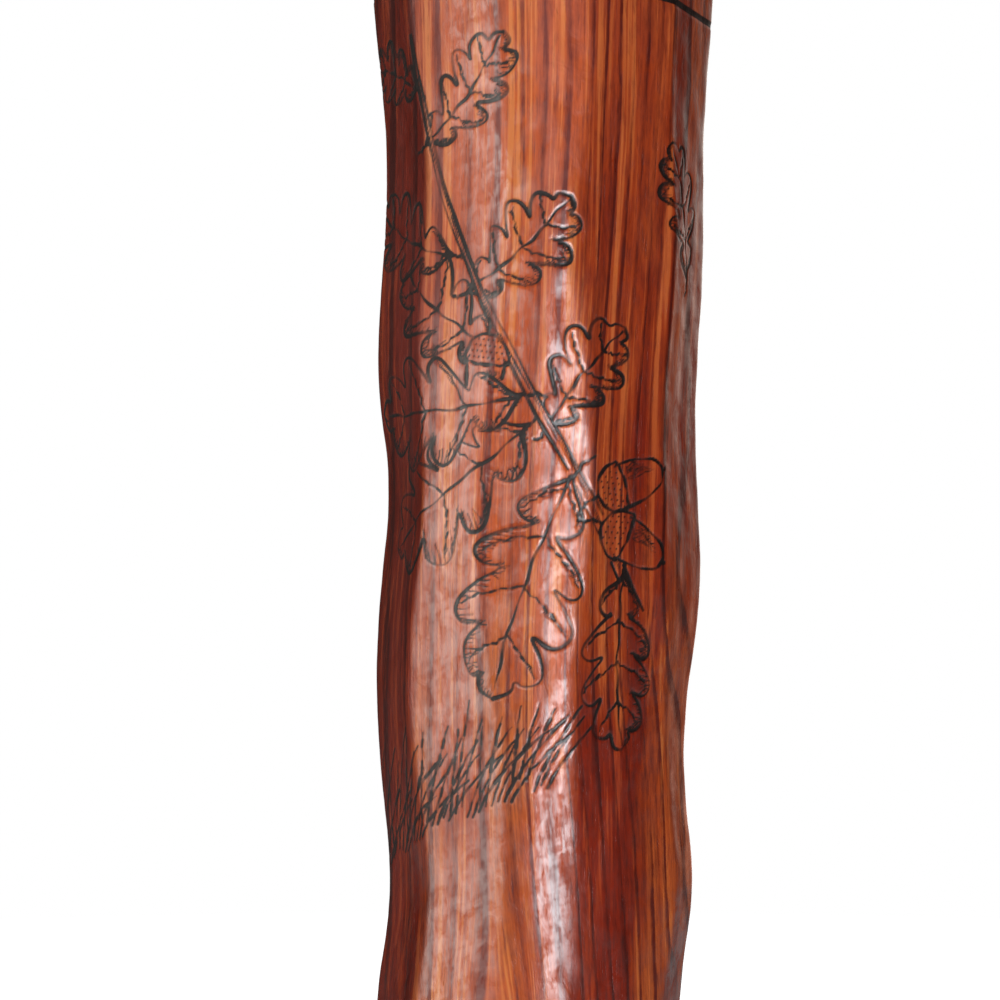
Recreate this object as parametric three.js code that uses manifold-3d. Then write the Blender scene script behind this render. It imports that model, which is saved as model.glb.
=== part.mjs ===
// A carved walking stick, in millimetres, +Z up, with the origin under the middle of its rubber foot.
// The face that the drawings are burned on looks along -Y. A turn is an angle round the stick, measured
// from that face towards +X.

import * as THREE from "three";
import { mergeVertices } from "three/addons/utils/BufferGeometryUtils.js";
import Module from "manifold-3d";

const wasm = await Module();
wasm.setup();

// Fits between the pieces
const glueGap = 0.2;
const seatGap = 0.1;
const slipGap = 0.3;
const cutOverrun = 1;

// Rubber foot, which pulls off the ferrule
const footSole = 9;
const footSocketDepth = 27;
const footBaseRadius = 20;
const footNeckRadius = 15.4;
const footSkirtHeight = 8;
const footEdgeRound = 1.6;
const footRibProud = 1;
const footRibHeight = 2.6;
const footRibPitch = 5.2;
const footRibCount = 3;
const treadCentreRadius = 4.5;
const treadGrooveWidth = 1.8;
const treadGrooveDepth = 1.5;
const treadGroovePitch = 4.2;
const treadGrooveCount = 3;

// Steel washer that keeps the ferrule from cutting through the sole
const footWasherThickness = 1.5;
const footWasherHoleRadius = 3;

// Brass ferrule, the steel plate that closes it and the screw through the plate
const ferruleLength = 42;
const ferruleRadius = 12.2;
const ferruleWall = 0.9;
const ferruleRimProud = 0.4;
const ferruleRimHeight = 2;
const tipPlateThickness = 3;
const tipScrewRadius = 2;
const tipScrewHeadRadius = 4.2;
const tipScrewHeadDepth = 2.2;
const tipScrewLength = 30;
const tipScrewPointLength = 5;
const tipScrewThreadPitch = 2.2;
const tipScrewThreadDepth = 0.5;

// Brass pins that hold the ferrule on the wood
const pinRadius = 0.9;
const pinLength = 8;
const pinHeadRadius = 1.9;
const pinHeadHeight = 0.9;
const pinBelowRim = 6;

// Carved shaft
const shaftLength = 785;
const shaftFootRadius = 12.7;
const shaftJointRadius = 18.8;
const shaftBow = 2.6;
const shaftSweep = 5.5;
const endBlend = 14;
const cutDepth = 0.55;
const hollowDepth = 1.3;

// Joint between the shaft and the handle
const spigotRadius = 12;
const spacerThickness = 2;
const spacerProud = 0.3;
const collarHeight = 13;
const collarRadius = 19.3;
const collarBeadProud = 0.9;
const collarBeadHeight = 3.4;

// Hanger bolt, with a coarse thread in the shaft and a fine one under the nut
const boltRadius = 5;
const boltWoodDepth = 46;
const woodThreadLength = 34;
const woodThreadPitch = 3.6;
const woodThreadDepth = 0.9;
const nutThreadLength = 14;
const nutThreadPitch = 1.5;
const nutThreadDepth = 0.6;
const boltChamfer = 1;

// Handle knob, with the washer, the nut and the brass button in its crown
const knobHeight = 66;
const knobRadius = 25.5;
const knobNeckRadius = 16.6;
const knobBaseRadius = 18.9;
const knobCutDepth = 0.5;
const crownBoreRadius = 11.2;
const crownBoreDepth = 20.5;
const boltWasherRadius = 10.6;
const boltWasherThickness = 1.6;
const nutAcrossFlats = 17;
const nutThickness = 8;
const nutChamfer = 0.8;
const buttonSkirt = 5;
const buttonDome = 2.2;
const buttonLipProud = 0.9;
const buttonLipHeight = 1;

// How finely the round pieces and the carved ones are divided
const turnedSides = 32;
const smallSides = 12;
const carvedSides = 36;
const shaftRows = 80;
const knobRows = 18;

// Shares that shape the carving, all chosen by hand. Each long knife facet has the place of its middle
// round the stick, and the length and the crest of its waves as shares of the shaft. The shaft's facets
// run on round the stick in this order, from the one that faces the front.
const facetShares = [
  { turn: 0.006, deep: 0.8, wave: 0.061, crest: 0.655, drift: -0.006, driftCrest: 0.737 },
  { turn: 0.096, deep: 1, wave: 0.056, crest: 0.702, drift: 0.008, driftCrest: 0.71 },
  { turn: 0.187, deep: 0.5, wave: 0.044, crest: 0.737, drift: 0.006, driftCrest: 0.69 },
  { turn: 0.278, deep: 0.5, wave: 0.043, crest: 0.737, drift: 0.01, driftCrest: 0.66 },
  { turn: 0.369, deep: 1.2, wave: 0.067, crest: 0.731, drift: -0.012, driftCrest: 0.64 },
  { turn: 0.46, deep: 1, wave: 0.052, crest: 0.669, drift: 0.012, driftCrest: 0.7 },
  { turn: 0.551, deep: 1.1, wave: 0.073, crest: 0.75, drift: -0.01, driftCrest: 0.72 },
  { turn: 0.642, deep: 1, wave: 0.058, crest: 0.69, drift: 0.012, driftCrest: 0.68 },
  { turn: 0.733, deep: 0.7, wave: 0.0478, crest: 0.7224, drift: -0.008, driftCrest: 0.75 },
  { turn: 0.824, deep: 0.7, wave: 0.0478, crest: 0.7224, drift: -0.019, driftCrest: 0.737 },
  { turn: 0.915, deep: 0.9, wave: 0.064, crest: 0.748, drift: -0.021, driftCrest: 0.737 },
];
const flatShare = 0.983; // how far out a facet's middle lies, to the round stick's radius
const driftWaveShare = 0.091;
const ridgeSharpness = 80;

// Natural hollows (deep below 0) and knots (above 0) along the shaft: up is the share of the shaft's
// length, turn the share of a full turn, deep the share of hollowDepth, long the reach as a share of
// the shaft's length and wide the reach as a share of a full turn.
const hollowShares = [
  { up: 0.045, turn: 0.62, deep: -0.7, long: 0.03, wide: 0.1 },
  { up: 0.09, turn: 0.12, deep: -1, long: 0.03, wide: 0.11 },
  { up: 0.13, turn: 0.84, deep: 0.9, long: 0.018, wide: 0.08 },
  { up: 0.185, turn: 0.46, deep: -1.2, long: 0.032, wide: 0.12 },
  { up: 0.235, turn: 0.02, deep: -0.9, long: 0.028, wide: 0.1 },
  { up: 0.27, turn: 0.3, deep: 1.1, long: 0.017, wide: 0.08 },
  { up: 0.32, turn: 0.77, deep: -1.3, long: 0.034, wide: 0.12 },
  { up: 0.375, turn: 0.2, deep: -1.1, long: 0.03, wide: 0.11 },
  { up: 0.42, turn: 0.93, deep: 1, long: 0.018, wide: 0.075 },
  { up: 0.455, turn: 0.55, deep: -1.2, long: 0.03, wide: 0.12 },
  { up: 0.51, turn: 0.09, deep: -1.2, long: 0.03, wide: 0.11 },
  { up: 0.56, turn: 0.71, deep: 1.1, long: 0.02, wide: 0.09 },
  { up: 0.6, turn: 0.36, deep: -1.1, long: 0.028, wide: 0.11 },
  { up: 0.645, turn: 0.96, deep: -0.8, long: 0.022, wide: 0.08 },
  { up: 0.668, turn: 0.25, deep: -0.6, long: 0.02, wide: 0.1 },
  { up: 0.692, turn: 0.78, deep: -0.65, long: 0.012, wide: 0.1 },
  { up: 0.694, turn: 0.24, deep: 0.35, long: 0.008, wide: 0.1 },
  { up: 0.714, turn: 0.24, deep: -0.25, long: 0.012, wide: 0.1 },
  { up: 0.735, turn: 0.24, deep: 0.2, long: 0.01, wide: 0.1 },
  { up: 0.75, turn: 0.77, deep: -0.5, long: 0.01, wide: 0.09 },
  { up: 0.777, turn: 0.76, deep: -0.25, long: 0.016, wide: 0.09 },
  { up: 0.79, turn: 0.48, deep: -1, long: 0.026, wide: 0.12 },
  { up: 0.81, turn: 0.24, deep: 0.65, long: 0.026, wide: 0.1 },
  { up: 0.83, turn: 0.73, deep: 0.95, long: 0.018, wide: 0.1 },
  { up: 0.865, turn: 0.16, deep: -1.1, long: 0.028, wide: 0.11 },
  { up: 0.915, turn: 0.64, deep: -1, long: 0.026, wide: 0.11 },
  { up: 0.95, turn: 0.9, deep: -0.7, long: 0.02, wide: 0.1 },
];

// The knob's outline from its base to its crown, as shares of its height and of its own radii
const knobNeckUpShare = 0.17;
const knobWidestUpShare = 0.62;
const knobCrownShare = 0.56;
const knobFacetCount = 9;
const knobTwistShare = 0.07; // how far its facets wind from base to crown, as a share of a turn

// Heights of the pieces, worked out from the foot upwards
const footHeight = footSole + footSocketDepth;
const ferruleBase = footSole + footWasherThickness + slipGap;
const ferruleTop = ferruleBase + ferruleLength;
const ferruleBore = ferruleRadius - ferruleWall;
const shaftEnd = ferruleBase + tipPlateThickness + seatGap;
const carvedBase = ferruleTop + seatGap;
const carvedTop = carvedBase + shaftLength;
const lowerSpacerBase = carvedTop + seatGap;
const collarBase = lowerSpacerBase + spacerThickness + seatGap;
const upperSpacerBase = collarBase + collarHeight + seatGap;
const knobBase = upperSpacerBase + spacerThickness + seatGap;
const knobTop = knobBase + knobHeight;
const spigotTop = knobBase - seatGap;
const boltBase = spigotTop - boltWoodDepth;
const crownBoreFloor = knobTop - crownBoreDepth;
const boltWasherBase = crownBoreFloor + seatGap;
const nutBase = boltWasherBase + boltWasherThickness + seatGap;
const boltTop = nutBase + nutThickness + boltChamfer;
const pinHeight = ferruleTop - pinBelowRim;

// Materials
const stainedWood = new THREE.MeshStandardMaterial({ color: 0x9a4420, roughness: 0.35, metalness: 0 });
const brass = new THREE.MeshStandardMaterial({ color: 0xb48a45, roughness: 0.35, metalness: 1 });
const steel = new THREE.MeshStandardMaterial({ color: 0x8d8f92, roughness: 0.4, metalness: 1 });
const horn = new THREE.MeshStandardMaterial({ color: 0x1d1815, roughness: 0.25, metalness: 0 });
const rubber = new THREE.MeshStandardMaterial({ color: 0x1b1b1c, roughness: 0.8, metalness: 0 });

const fullTurn = 2 * Math.PI;
const { lerp, smoothstep } = THREE.MathUtils;

const stick = new THREE.Group();

function add(name, geometry, material) {
  const mesh = new THREE.Mesh(geometry, material);
  mesh.name = name;
  stick.add(mesh);
  return mesh;
}

// A solid of revolution about Z. The profile is [radius, height] points that run up the outside.
function turned(profile, sides) {
  const points = profile.map(([radius, height]) => new THREE.Vector2(radius, height));
  return new THREE.LatheGeometry(points, sides).rotateX(fullTurn / 4);
}

// A flat ring or tube between two heights, closed on itself.
function ring(inner, outer, base, top, sides) {
  return turned([[inner, base], [outer, base], [outer, top], [inner, top], [inner, base]], sides);
}

// Profile points that round the lower outer edge of a piece.
function roundedEdge(outerRadius, base, round, steps) {
  const points = [];
  for (let step = 0; step <= steps; step++) {
    const angle = (step / steps) * (Math.PI / 2);
    points.push([outerRadius - round * (1 - Math.sin(angle)), base + round * (1 - Math.cos(angle))]);
  }
  return points;
}

// Moves each vertex of a turned piece to where place(turn, height, radius) puts it.
function reshape(geometry, place) {
  const positions = geometry.attributes.position;
  for (let i = 0; i < positions.count; i++) {
    const x = positions.getX(i);
    const y = positions.getY(i);
    const moved = place(Math.atan2(x, -y), positions.getZ(i), Math.hypot(x, y));
    positions.setXYZ(i, ...moved);
  }
  return geometry;
}

function solid(geometry) {
  const bare = geometry.clone();
  bare.deleteAttribute("normal");
  bare.deleteAttribute("uv");
  const merged = mergeVertices(bare);
  return new wasm.Manifold(
    new wasm.Mesh({
      numProp: 3,
      vertProperties: merged.attributes.position.array,
      triVerts: new Uint32Array(merged.index.array),
    }),
  );
}

function surface(manifold) {
  const mesh = manifold.getMesh();
  return new THREE.BufferGeometry()
    .setAttribute("position", new THREE.BufferAttribute(mesh.vertProperties, 3))
    .setIndex(new THREE.BufferAttribute(mesh.triVerts, 1));
}

function cut(geometry, ...cutters) {
  let left = solid(geometry);
  for (const cutter of cutters) left = left.subtract(solid(cutter));
  return surface(left);
}

// The shortest way round from one turn to another.
function turnsApart(turn, other) {
  const apart = (turn - other) % fullTurn;
  return Math.abs(apart) > fullTurn / 2 ? apart - Math.sign(apart) * fullTurn : apart;
}

// Where the shaft's own line runs at a height: two gentle bends, dying out at both ends.
function shaftLine(along) {
  const held = Math.sin(Math.PI * along) ** 2;
  return [
    shaftBow * held * Math.sin(fullTurn * (along + 0.02)),
    shaftSweep * held * Math.sin(fullTurn * (along * 0.8 + 0.1)),
  ];
}

// How far a facet's plane reaches at a turn, or 0 where it faces away.
function facetReach(facet, round, turn, along) {
  const drift = facet.drift * Math.cos((fullTurn * (along - facet.driftCrest)) / driftWaveShare);
  const facing = Math.cos(turn - fullTurn * (facet.turn + drift));
  const wave = cutDepth * facet.deep * Math.cos((fullTurn * (along - facet.crest)) / facet.wave);
  return facing > 0 ? (round * flatShare + wave) / facing : 0;
}

// The carved shaft's radius about its own line.
function shaftRadius(turn, along) {
  const round = lerp(shaftFootRadius, shaftJointRadius, along);
  let closeness = 0;
  for (const facet of facetShares) {
    const reach = facetReach(facet, round, turn, along);
    if (reach > 0) closeness += (reach / round) ** -ridgeSharpness;
  }
  let carved = round * closeness ** (-1 / ridgeSharpness);
  for (const hollow of hollowShares) {
    const up = (along - hollow.up) / hollow.long;
    const round = turnsApart(turn, fullTurn * hollow.turn) / (fullTurn * hollow.wide);
    carved += hollowDepth * hollow.deep * Math.exp(-up * up - round * round);
  }
  const blend = endBlend / shaftLength;
  const free = smoothstep(along, 0, blend) * (1 - smoothstep(along, 1 - blend, 1));
  return lerp(round, carved, free);
}

// The shaft: a spigot for the ferrule, the carved length, and a bored spigot for the collar.
function shaft() {
  const ferruleSpigot = ferruleBore - glueGap;
  const pilotRadius = tipScrewRadius + glueGap;
  const pilotTop = ferruleBase + tipScrewLength + glueGap;
  const boreRadius = boltRadius + glueGap;
  const profile = [[0, pilotTop], [pilotRadius, pilotTop], [pilotRadius, shaftEnd]];
  profile.push([ferruleSpigot, shaftEnd], [ferruleSpigot, carvedBase]);
  for (let row = 0; row <= shaftRows; row++) {
    const along = row / shaftRows;
    profile.push([lerp(shaftFootRadius, shaftJointRadius, along), lerp(carvedBase, carvedTop, along)]);
  }
  profile.push([spigotRadius, carvedTop], [spigotRadius, spigotTop]);
  profile.push([boreRadius, spigotTop], [boreRadius, boltBase - glueGap], [0, boltBase - glueGap]);
  const body = reshape(turned(profile, carvedSides), (turn, height, radius) => {
    const along = (height - carvedBase) / shaftLength;
    const betweenEnds = Math.abs(along - 0.5) < 0.5 - 0.5 / shaftRows;
    const onSkin = betweenEnds && radius > (boreRadius + shaftFootRadius) / 2;
    const reach = onSkin ? shaftRadius(turn, along) : radius;
    const [x, y] = onSkin ? shaftLine(along) : [0, 0];
    return [x + reach * Math.sin(turn), y - reach * Math.cos(turn), height];
  });
  const holes = [1, -1].map((side) => pinHole(side, pinLength + glueGap));
  return cut(body, ...holes);
}

// A pin lies along X: its head is outside the ferrule, and its point in the wood.
function pinHole(side, depth) {
  const reach = depth + cutOverrun;
  const middle = ferruleRadius + cutOverrun - reach / 2;
  return new THREE.CylinderGeometry(pinRadius + glueGap, pinRadius + glueGap, reach, smallSides)
    .rotateZ(fullTurn / 4)
    .translate(side * middle, 0, pinHeight);
}

function ferrulePin(side) {
  const head = ferruleRadius + seatGap;
  const pointLength = 2 * pinRadius;
  const profile = [
    [0, -pinLength],
    [pinRadius, pointLength - pinLength],
    [pinRadius, 0],
    [pinHeadRadius, 0],
    [pinHeadRadius * 0.9, pinHeadHeight * 0.55],
    [pinHeadRadius * 0.5, pinHeadHeight * 0.92],
    [0, pinHeadHeight],
  ];
  return turned(profile, smallSides)
    .rotateY((side * fullTurn) / 4)
    .translate(side * head, 0, pinHeight);
}

function ferrule() {
  const rim = ferruleRadius + ferruleRimProud;
  const profile = [
    [ferruleBore, ferruleBase],
    [ferruleRadius, ferruleBase],
    [ferruleRadius, ferruleTop - ferruleRimHeight],
    [rim, ferruleTop - ferruleRimHeight * 0.75],
    [rim, ferruleTop - ferruleRimHeight * 0.25],
    [ferruleRadius, ferruleTop],
    [ferruleBore, ferruleTop],
    [ferruleBore, ferruleBase],
  ];
  const holes = [1, -1].map((side) => pinHole(side, 2 * ferruleWall));
  return cut(turned(profile, turnedSides), ...holes);
}

// The plate's hole is countersunk for the screw's head.
function tipPlate() {
  const outer = ferruleBore - glueGap;
  const top = ferruleBase + tipPlateThickness;
  const hole = tipScrewRadius + glueGap;
  const sink = tipScrewHeadRadius + glueGap;
  return turned(
    [
      [sink, ferruleBase],
      [outer, ferruleBase],
      [outer, top],
      [hole, top],
      [hole, ferruleBase + tipScrewHeadDepth + glueGap],
      [sink, ferruleBase],
    ],
    turnedSides,
  );
}

function tipScrew() {
  const root = tipScrewRadius - tipScrewThreadDepth;
  const threadBase = ferruleBase + tipPlateThickness + tipScrewThreadPitch;
  const threadTop = ferruleBase + tipScrewLength - tipScrewPointLength;
  const turns = Math.floor((threadTop - threadBase) / tipScrewThreadPitch);
  const profile = [[0, ferruleBase], [tipScrewHeadRadius, ferruleBase]];
  profile.push([tipScrewRadius, ferruleBase + tipScrewHeadDepth], [tipScrewRadius, threadBase]);
  for (let n = 0; n < turns; n++) {
    const base = threadBase + n * tipScrewThreadPitch;
    profile.push([root, base + tipScrewThreadPitch * 0.3], [tipScrewRadius, base + tipScrewThreadPitch]);
  }
  profile.push([root, threadTop + tipScrewThreadPitch * 0.3], [0, ferruleBase + tipScrewLength]);
  return turned(profile, smallSides);
}

// The foot is a thick sole with tread grooves, a flared skirt and a ribbed neck round its socket.
function rubberFoot() {
  const socket = ferruleRadius + slipGap;
  const ribBase = footHeight - footRibCount * footRibPitch;
  const profile = [[0, 0], [treadCentreRadius, 0]];
  for (let n = 0; n < treadGrooveCount; n++) {
    const inner = treadCentreRadius + n * treadGroovePitch;
    const outer = inner + treadGrooveWidth;
    profile.push([inner, treadGrooveDepth], [outer, treadGrooveDepth], [outer, 0]);
    if (n + 1 < treadGrooveCount) profile.push([inner + treadGroovePitch, 0]);
  }
  profile.push(...roundedEdge(footBaseRadius, 0, footEdgeRound, 3));
  profile.push([footBaseRadius - footEdgeRound * 0.2, footSkirtHeight * 0.6]);
  profile.push([footNeckRadius + footRibProud, footSkirtHeight]);
  profile.push([footNeckRadius, footSkirtHeight + footRibProud]);
  for (let n = 0; n < footRibCount; n++) {
    const base = ribBase + n * footRibPitch + (footRibPitch - footRibHeight);
    profile.push([footNeckRadius, base], [footNeckRadius + footRibProud, base + footRibHeight * 0.3]);
    profile.push([footNeckRadius + footRibProud, base + footRibHeight * 0.7]);
    profile.push([footNeckRadius, base + footRibHeight]);
  }
  profile.push([socket, footHeight], [socket, footSole], [0, footSole]);
  return turned(profile, turnedSides);
}

function footWasher() {
  const top = footSole + footWasherThickness;
  return ring(footWasherHoleRadius, ferruleRadius, footSole + seatGap, top, turnedSides);
}

// A spacer is a thin horn disc with softened edges, threaded on the shaft's spigot.
function spacer(base) {
  const bore = spigotRadius + glueGap;
  const rim = collarRadius + spacerProud;
  const soft = spacerThickness / 4;
  const top = base + spacerThickness;
  return turned(
    [
      [bore, base],
      [rim - soft, base],
      [rim, base + soft],
      [rim, top - soft],
      [rim - soft, top],
      [bore, top],
      [bore, base],
    ],
    turnedSides,
  );
}

// The collar is a plain band between two beads.
function collar() {
  const bore = spigotRadius + glueGap;
  const top = collarBase + collarHeight;
  const bead = (base) =>
    [0, 1, 2, 3, 4].map((step) => [
      collarRadius + collarBeadProud * Math.sin((Math.PI * step) / 4),
      base + (collarBeadHeight * step) / 4,
    ]);
  const profile = [[bore, collarBase], ...bead(collarBase), ...bead(top - collarBeadHeight)];
  profile.push([bore, top], [bore, collarBase]);
  return turned(profile, turnedSides);
}

// A thread's depth below its crest at a turn and a height, for a ridge that winds once in each pitch.
function threadSink(turn, height, pitch, depth) {
  const phase = height / pitch - turn / fullTurn;
  return depth * Math.abs(2 * (phase - Math.floor(phase)) - 1);
}

function hangerBolt() {
  const woodTop = boltBase + woodThreadLength;
  const nutThreadBase = boltTop - nutThreadLength;
  const rows = [];
  const stepUp = (from, to, pitch) => {
    const steps = Math.round(((to - from) * 2) / pitch);
    for (let step = 0; step <= steps; step++) rows.push([boltRadius, lerp(from, to, step / steps)]);
  };
  stepUp(boltBase + boltChamfer, woodTop, woodThreadPitch);
  stepUp(nutThreadBase, boltTop - boltChamfer, nutThreadPitch);
  const tip = boltRadius - 1.5 * boltChamfer;
  const profile = [[0, boltBase], [tip, boltBase], ...rows, [tip, boltTop], [0, boltTop]];
  return reshape(turned(profile, smallSides), (turn, height, radius) => {
    let reach = radius;
    if (radius > tip && height < woodTop) {
      reach -= threadSink(turn, height, woodThreadPitch, woodThreadDepth);
    } else if (radius > tip && height > nutThreadBase) {
      reach -= threadSink(turn, height, nutThreadPitch, nutThreadDepth);
    }
    return [reach * Math.sin(turn), -reach * Math.cos(turn), height];
  });
}

function boltWasher() {
  const top = boltWasherBase + boltWasherThickness;
  return ring(boltRadius + slipGap, boltWasherRadius, boltWasherBase, top, turnedSides);
}

// The nut is a hexagonal prism whose corners are chamfered by a turned blank.
function nut() {
  const corner = nutAcrossFlats / 2 / Math.cos(Math.PI / 6);
  const top = nutBase + nutThickness;
  const bore = boltRadius + glueGap;
  const blank = [
    [bore, nutBase],
    [corner - nutChamfer, nutBase],
    [corner, nutBase + nutChamfer],
    [corner, top - nutChamfer],
    [corner - nutChamfer, top],
    [bore, top],
    [bore, nutBase],
  ];
  const prism = new THREE.CylinderGeometry(corner, corner, nutThickness, 6)
    .rotateX(fullTurn / 4)
    .translate(0, 0, nutBase + nutThickness / 2);
  return surface(solid(turned(blank, turnedSides)).intersect(solid(prism)));
}

// The knob's outer radius before its facets are cut, from base (0) to crown (1).
function knobOutline(up) {
  const crown = knobRadius * knobCrownShare;
  if (up < knobNeckUpShare) {
    return lerp(knobBaseRadius, knobNeckRadius, smoothstep(up, 0, knobNeckUpShare));
  }
  if (up < knobWidestUpShare) {
    const rise = (up - knobNeckUpShare) / (knobWidestUpShare - knobNeckUpShare);
    return lerp(knobNeckRadius, knobRadius, Math.sin((rise * Math.PI) / 2) ** 1.5);
  }
  const over = (up - knobWidestUpShare) / (1 - knobWidestUpShare);
  return crown + (knobRadius - crown) * Math.sqrt(1 - over * over);
}

// The carved knob's radius: soft facets that wind a little, strongest where it is widest.
function knobReach(turn, up, radius) {
  const facet = knobFacetCount * (turn / fullTurn - knobTwistShare * up);
  const across = 2 * (facet - Math.floor(facet)) - 1;
  const free = smoothstep(up, 0, knobNeckUpShare) * (1 - smoothstep(up, 0.8, 0.97));
  return radius - knobCutDepth * free * (1 - across * across);
}

function handleKnob() {
  const boreRadius = boltRadius + glueGap;
  const rows = [];
  for (let row = 0; row <= knobRows; row++) {
    // Rows crowd towards the crown, where the outline turns over.
    const up = Math.sin((row / knobRows) * (Math.PI / 2)) ** 1.2;
    rows.push([knobOutline(up), knobBase + knobHeight * up]);
  }
  const profile = [[boreRadius, knobBase], ...rows, [crownBoreRadius, knobTop]];
  profile.push([crownBoreRadius, crownBoreFloor], [boreRadius, crownBoreFloor], [boreRadius, knobBase]);
  return reshape(turned(profile, carvedSides), (turn, height, radius) => {
    const up = (height - knobBase) / knobHeight;
    const reach = radius > crownBoreRadius + glueGap ? knobReach(turn, up, radius) : radius;
    return [reach * Math.sin(turn), -reach * Math.cos(turn), height];
  });
}

// The brass button closes the crown's bore: a skirt inside it and a low dome with a lip over it.
function crownButton() {
  const skirt = crownBoreRadius - glueGap;
  const lip = crownBoreRadius + buttonLipProud;
  const seat = knobTop + seatGap;
  const profile = [[0, knobTop - buttonSkirt], [skirt, knobTop - buttonSkirt], [skirt, seat], [lip, seat]];
  const steps = 5;
  for (let step = 0; step < steps; step++) {
    const angle = (step / steps) * (Math.PI / 2);
    profile.push([lip * Math.cos(angle), seat + buttonLipHeight + buttonDome * Math.sin(angle)]);
  }
  profile.push([0, seat + buttonLipHeight + buttonDome]);
  return turned(profile, turnedSides);
}

add("rubber_foot", rubberFoot(), rubber);
add("foot_washer", footWasher(), steel);
add("ferrule", ferrule(), brass);
add("tip_plate", tipPlate(), steel);
add("tip_screw", tipScrew(), steel);
add("ferrule_pin_right", ferrulePin(1), brass);
add("ferrule_pin_left", ferrulePin(-1), brass);
add("shaft", shaft(), stainedWood);
add("lower_spacer", spacer(lowerSpacerBase), horn);
add("collar", collar(), brass);
add("upper_spacer", spacer(upperSpacerBase), horn);
add("hanger_bolt", hangerBolt(), steel);
add("handle_knob", handleKnob(), stainedWood);
add("bolt_washer", boltWasher(), steel);
add("handle_nut", nut(), steel);
add("crown_button", crownButton(), brass);

export default stick;
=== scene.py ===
import math

import bpy
import numpy as np
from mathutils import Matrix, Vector


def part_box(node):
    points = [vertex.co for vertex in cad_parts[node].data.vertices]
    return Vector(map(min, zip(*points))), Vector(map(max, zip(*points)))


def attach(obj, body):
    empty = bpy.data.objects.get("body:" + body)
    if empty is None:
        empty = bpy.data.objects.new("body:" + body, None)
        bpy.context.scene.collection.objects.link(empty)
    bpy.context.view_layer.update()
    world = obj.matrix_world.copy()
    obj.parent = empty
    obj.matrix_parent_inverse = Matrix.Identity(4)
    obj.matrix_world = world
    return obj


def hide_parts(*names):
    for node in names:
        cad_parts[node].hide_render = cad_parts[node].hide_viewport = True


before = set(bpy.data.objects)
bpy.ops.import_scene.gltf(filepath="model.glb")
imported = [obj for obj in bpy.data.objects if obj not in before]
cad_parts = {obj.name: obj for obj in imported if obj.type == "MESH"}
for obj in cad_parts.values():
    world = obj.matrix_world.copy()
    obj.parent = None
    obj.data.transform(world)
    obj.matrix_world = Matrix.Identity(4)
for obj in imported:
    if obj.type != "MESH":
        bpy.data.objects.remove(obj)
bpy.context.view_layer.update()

mm = 0.001
fullTurn = 2 * math.pi
tiny = 1e-12             # keeps a division by nothing away
seatGap = 0.1            # between pieces that sit on each other
axisRadius = 0.02        # where a profile ends next to the axis

print("frame loaded")


# Small helpers

def smooth(value, low, high):
    share = np.clip((value - low) / (high - low), 0, 1)
    return share * share * (3 - 2 * share)


def mixed(low, high, share):
    return low + (high - low) * share


def awayFromEnds(share, blend):
    # 1 along the middle, falling smoothly to 0 at both ends
    return smooth(share, 0, blend) * (1 - smooth(share, 1 - blend, 1))


def turnFrom(turn, middle):
    # How far round from the middle, at most half a turn either way
    return (turn - middle + np.pi) % fullTurn - np.pi


def evenTurns(count):
    return np.arange(count) * fullTurn / count


def pointsRound(radius, turn, height, x=0, y=0):
    # Points at this distance and turn from an upright line through x and y
    return np.stack([x + radius * np.sin(turn), y - radius * np.cos(turn), height + 0 * turn], axis=-1)


def base(node):
    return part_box(node)[0].z / mm


def top(node):
    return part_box(node)[1].z / mm


def unevenness(seed, *axes, waves=7, spread=1.3, peak=1.6):
    # A smooth field between about -1 and 1, summed from waves. Each axis is (values, typical length).
    dice = np.random.default_rng(seed)
    field = 0
    for _ in range(waves):
        phase = dice.uniform(0, fullTurn)
        for values, length in axes:
            phase = phase + values * fullTurn / length * dice.uniform(-spread, spread)
        field = field + np.sin(phase)
    return field / math.sqrt(waves / 2) / peak


# Meshes

def meshFrom(name, points, faces):
    # faces is a list of arrays, and all faces of one array have as many corners
    mesh = bpy.data.meshes.new(name)
    corners = np.concatenate([block.reshape(-1) for block in faces]).astype(np.int32)
    sizes = np.concatenate([np.full(len(block), block.shape[1]) for block in faces])
    starts = np.concatenate([[0], np.cumsum(sizes)[:-1]]).astype(np.int32)
    mesh.vertices.add(len(points))
    mesh.vertices.foreach_set("co", (points * mm).astype(np.float32).reshape(-1))
    mesh.loops.add(len(corners))
    mesh.loops.foreach_set("vertex_index", corners)
    mesh.polygons.add(len(sizes))
    mesh.polygons.foreach_set("loop_start", starts)
    mesh.update(calc_edges=True)
    mesh.shade_smooth()
    return mesh


def numbered(rows, columns, start=0):
    return start + np.arange(rows * columns).reshape(rows, columns)


def cells(index, wrapRows=False):
    # The quads of a grid of point numbers whose columns go round the piece
    lower = index if wrapRows else index[:-1]
    upper = np.roll(index, -1, axis=0) if wrapRows else index[1:]
    return np.stack([lower, np.roll(lower, -1, axis=1), np.roll(upper, -1, axis=1), upper], axis=-1)


def caps(index, first, last):
    # Triangles from a grid's lowest row to the point called first, and from its highest row to last
    around = np.roll(index, -1, axis=1)
    return [np.stack([around[0], index[0], 0 * index[0] + first], axis=-1),
            np.stack([index[-1], around[-1], 0 * index[-1] + last], axis=-1)]


def wrapped(grid, name, closed=False):
    # A mesh from a grid of points: rows run up the piece and columns round it. An open grid gets a
    # point in the middle of each end, and a closed one joins its last row to its first.
    index = numbered(*grid.shape[:2])
    points = grid.reshape(-1, 3)
    faces = [cells(index, closed).reshape(-1, 4)]
    if not closed:
        faces += caps(index, len(points), len(points) + 1)
        points = np.concatenate([points, [grid[0].mean(axis=0), grid[-1].mean(axis=0)]])
    return meshFrom(name, points, faces)


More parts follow.
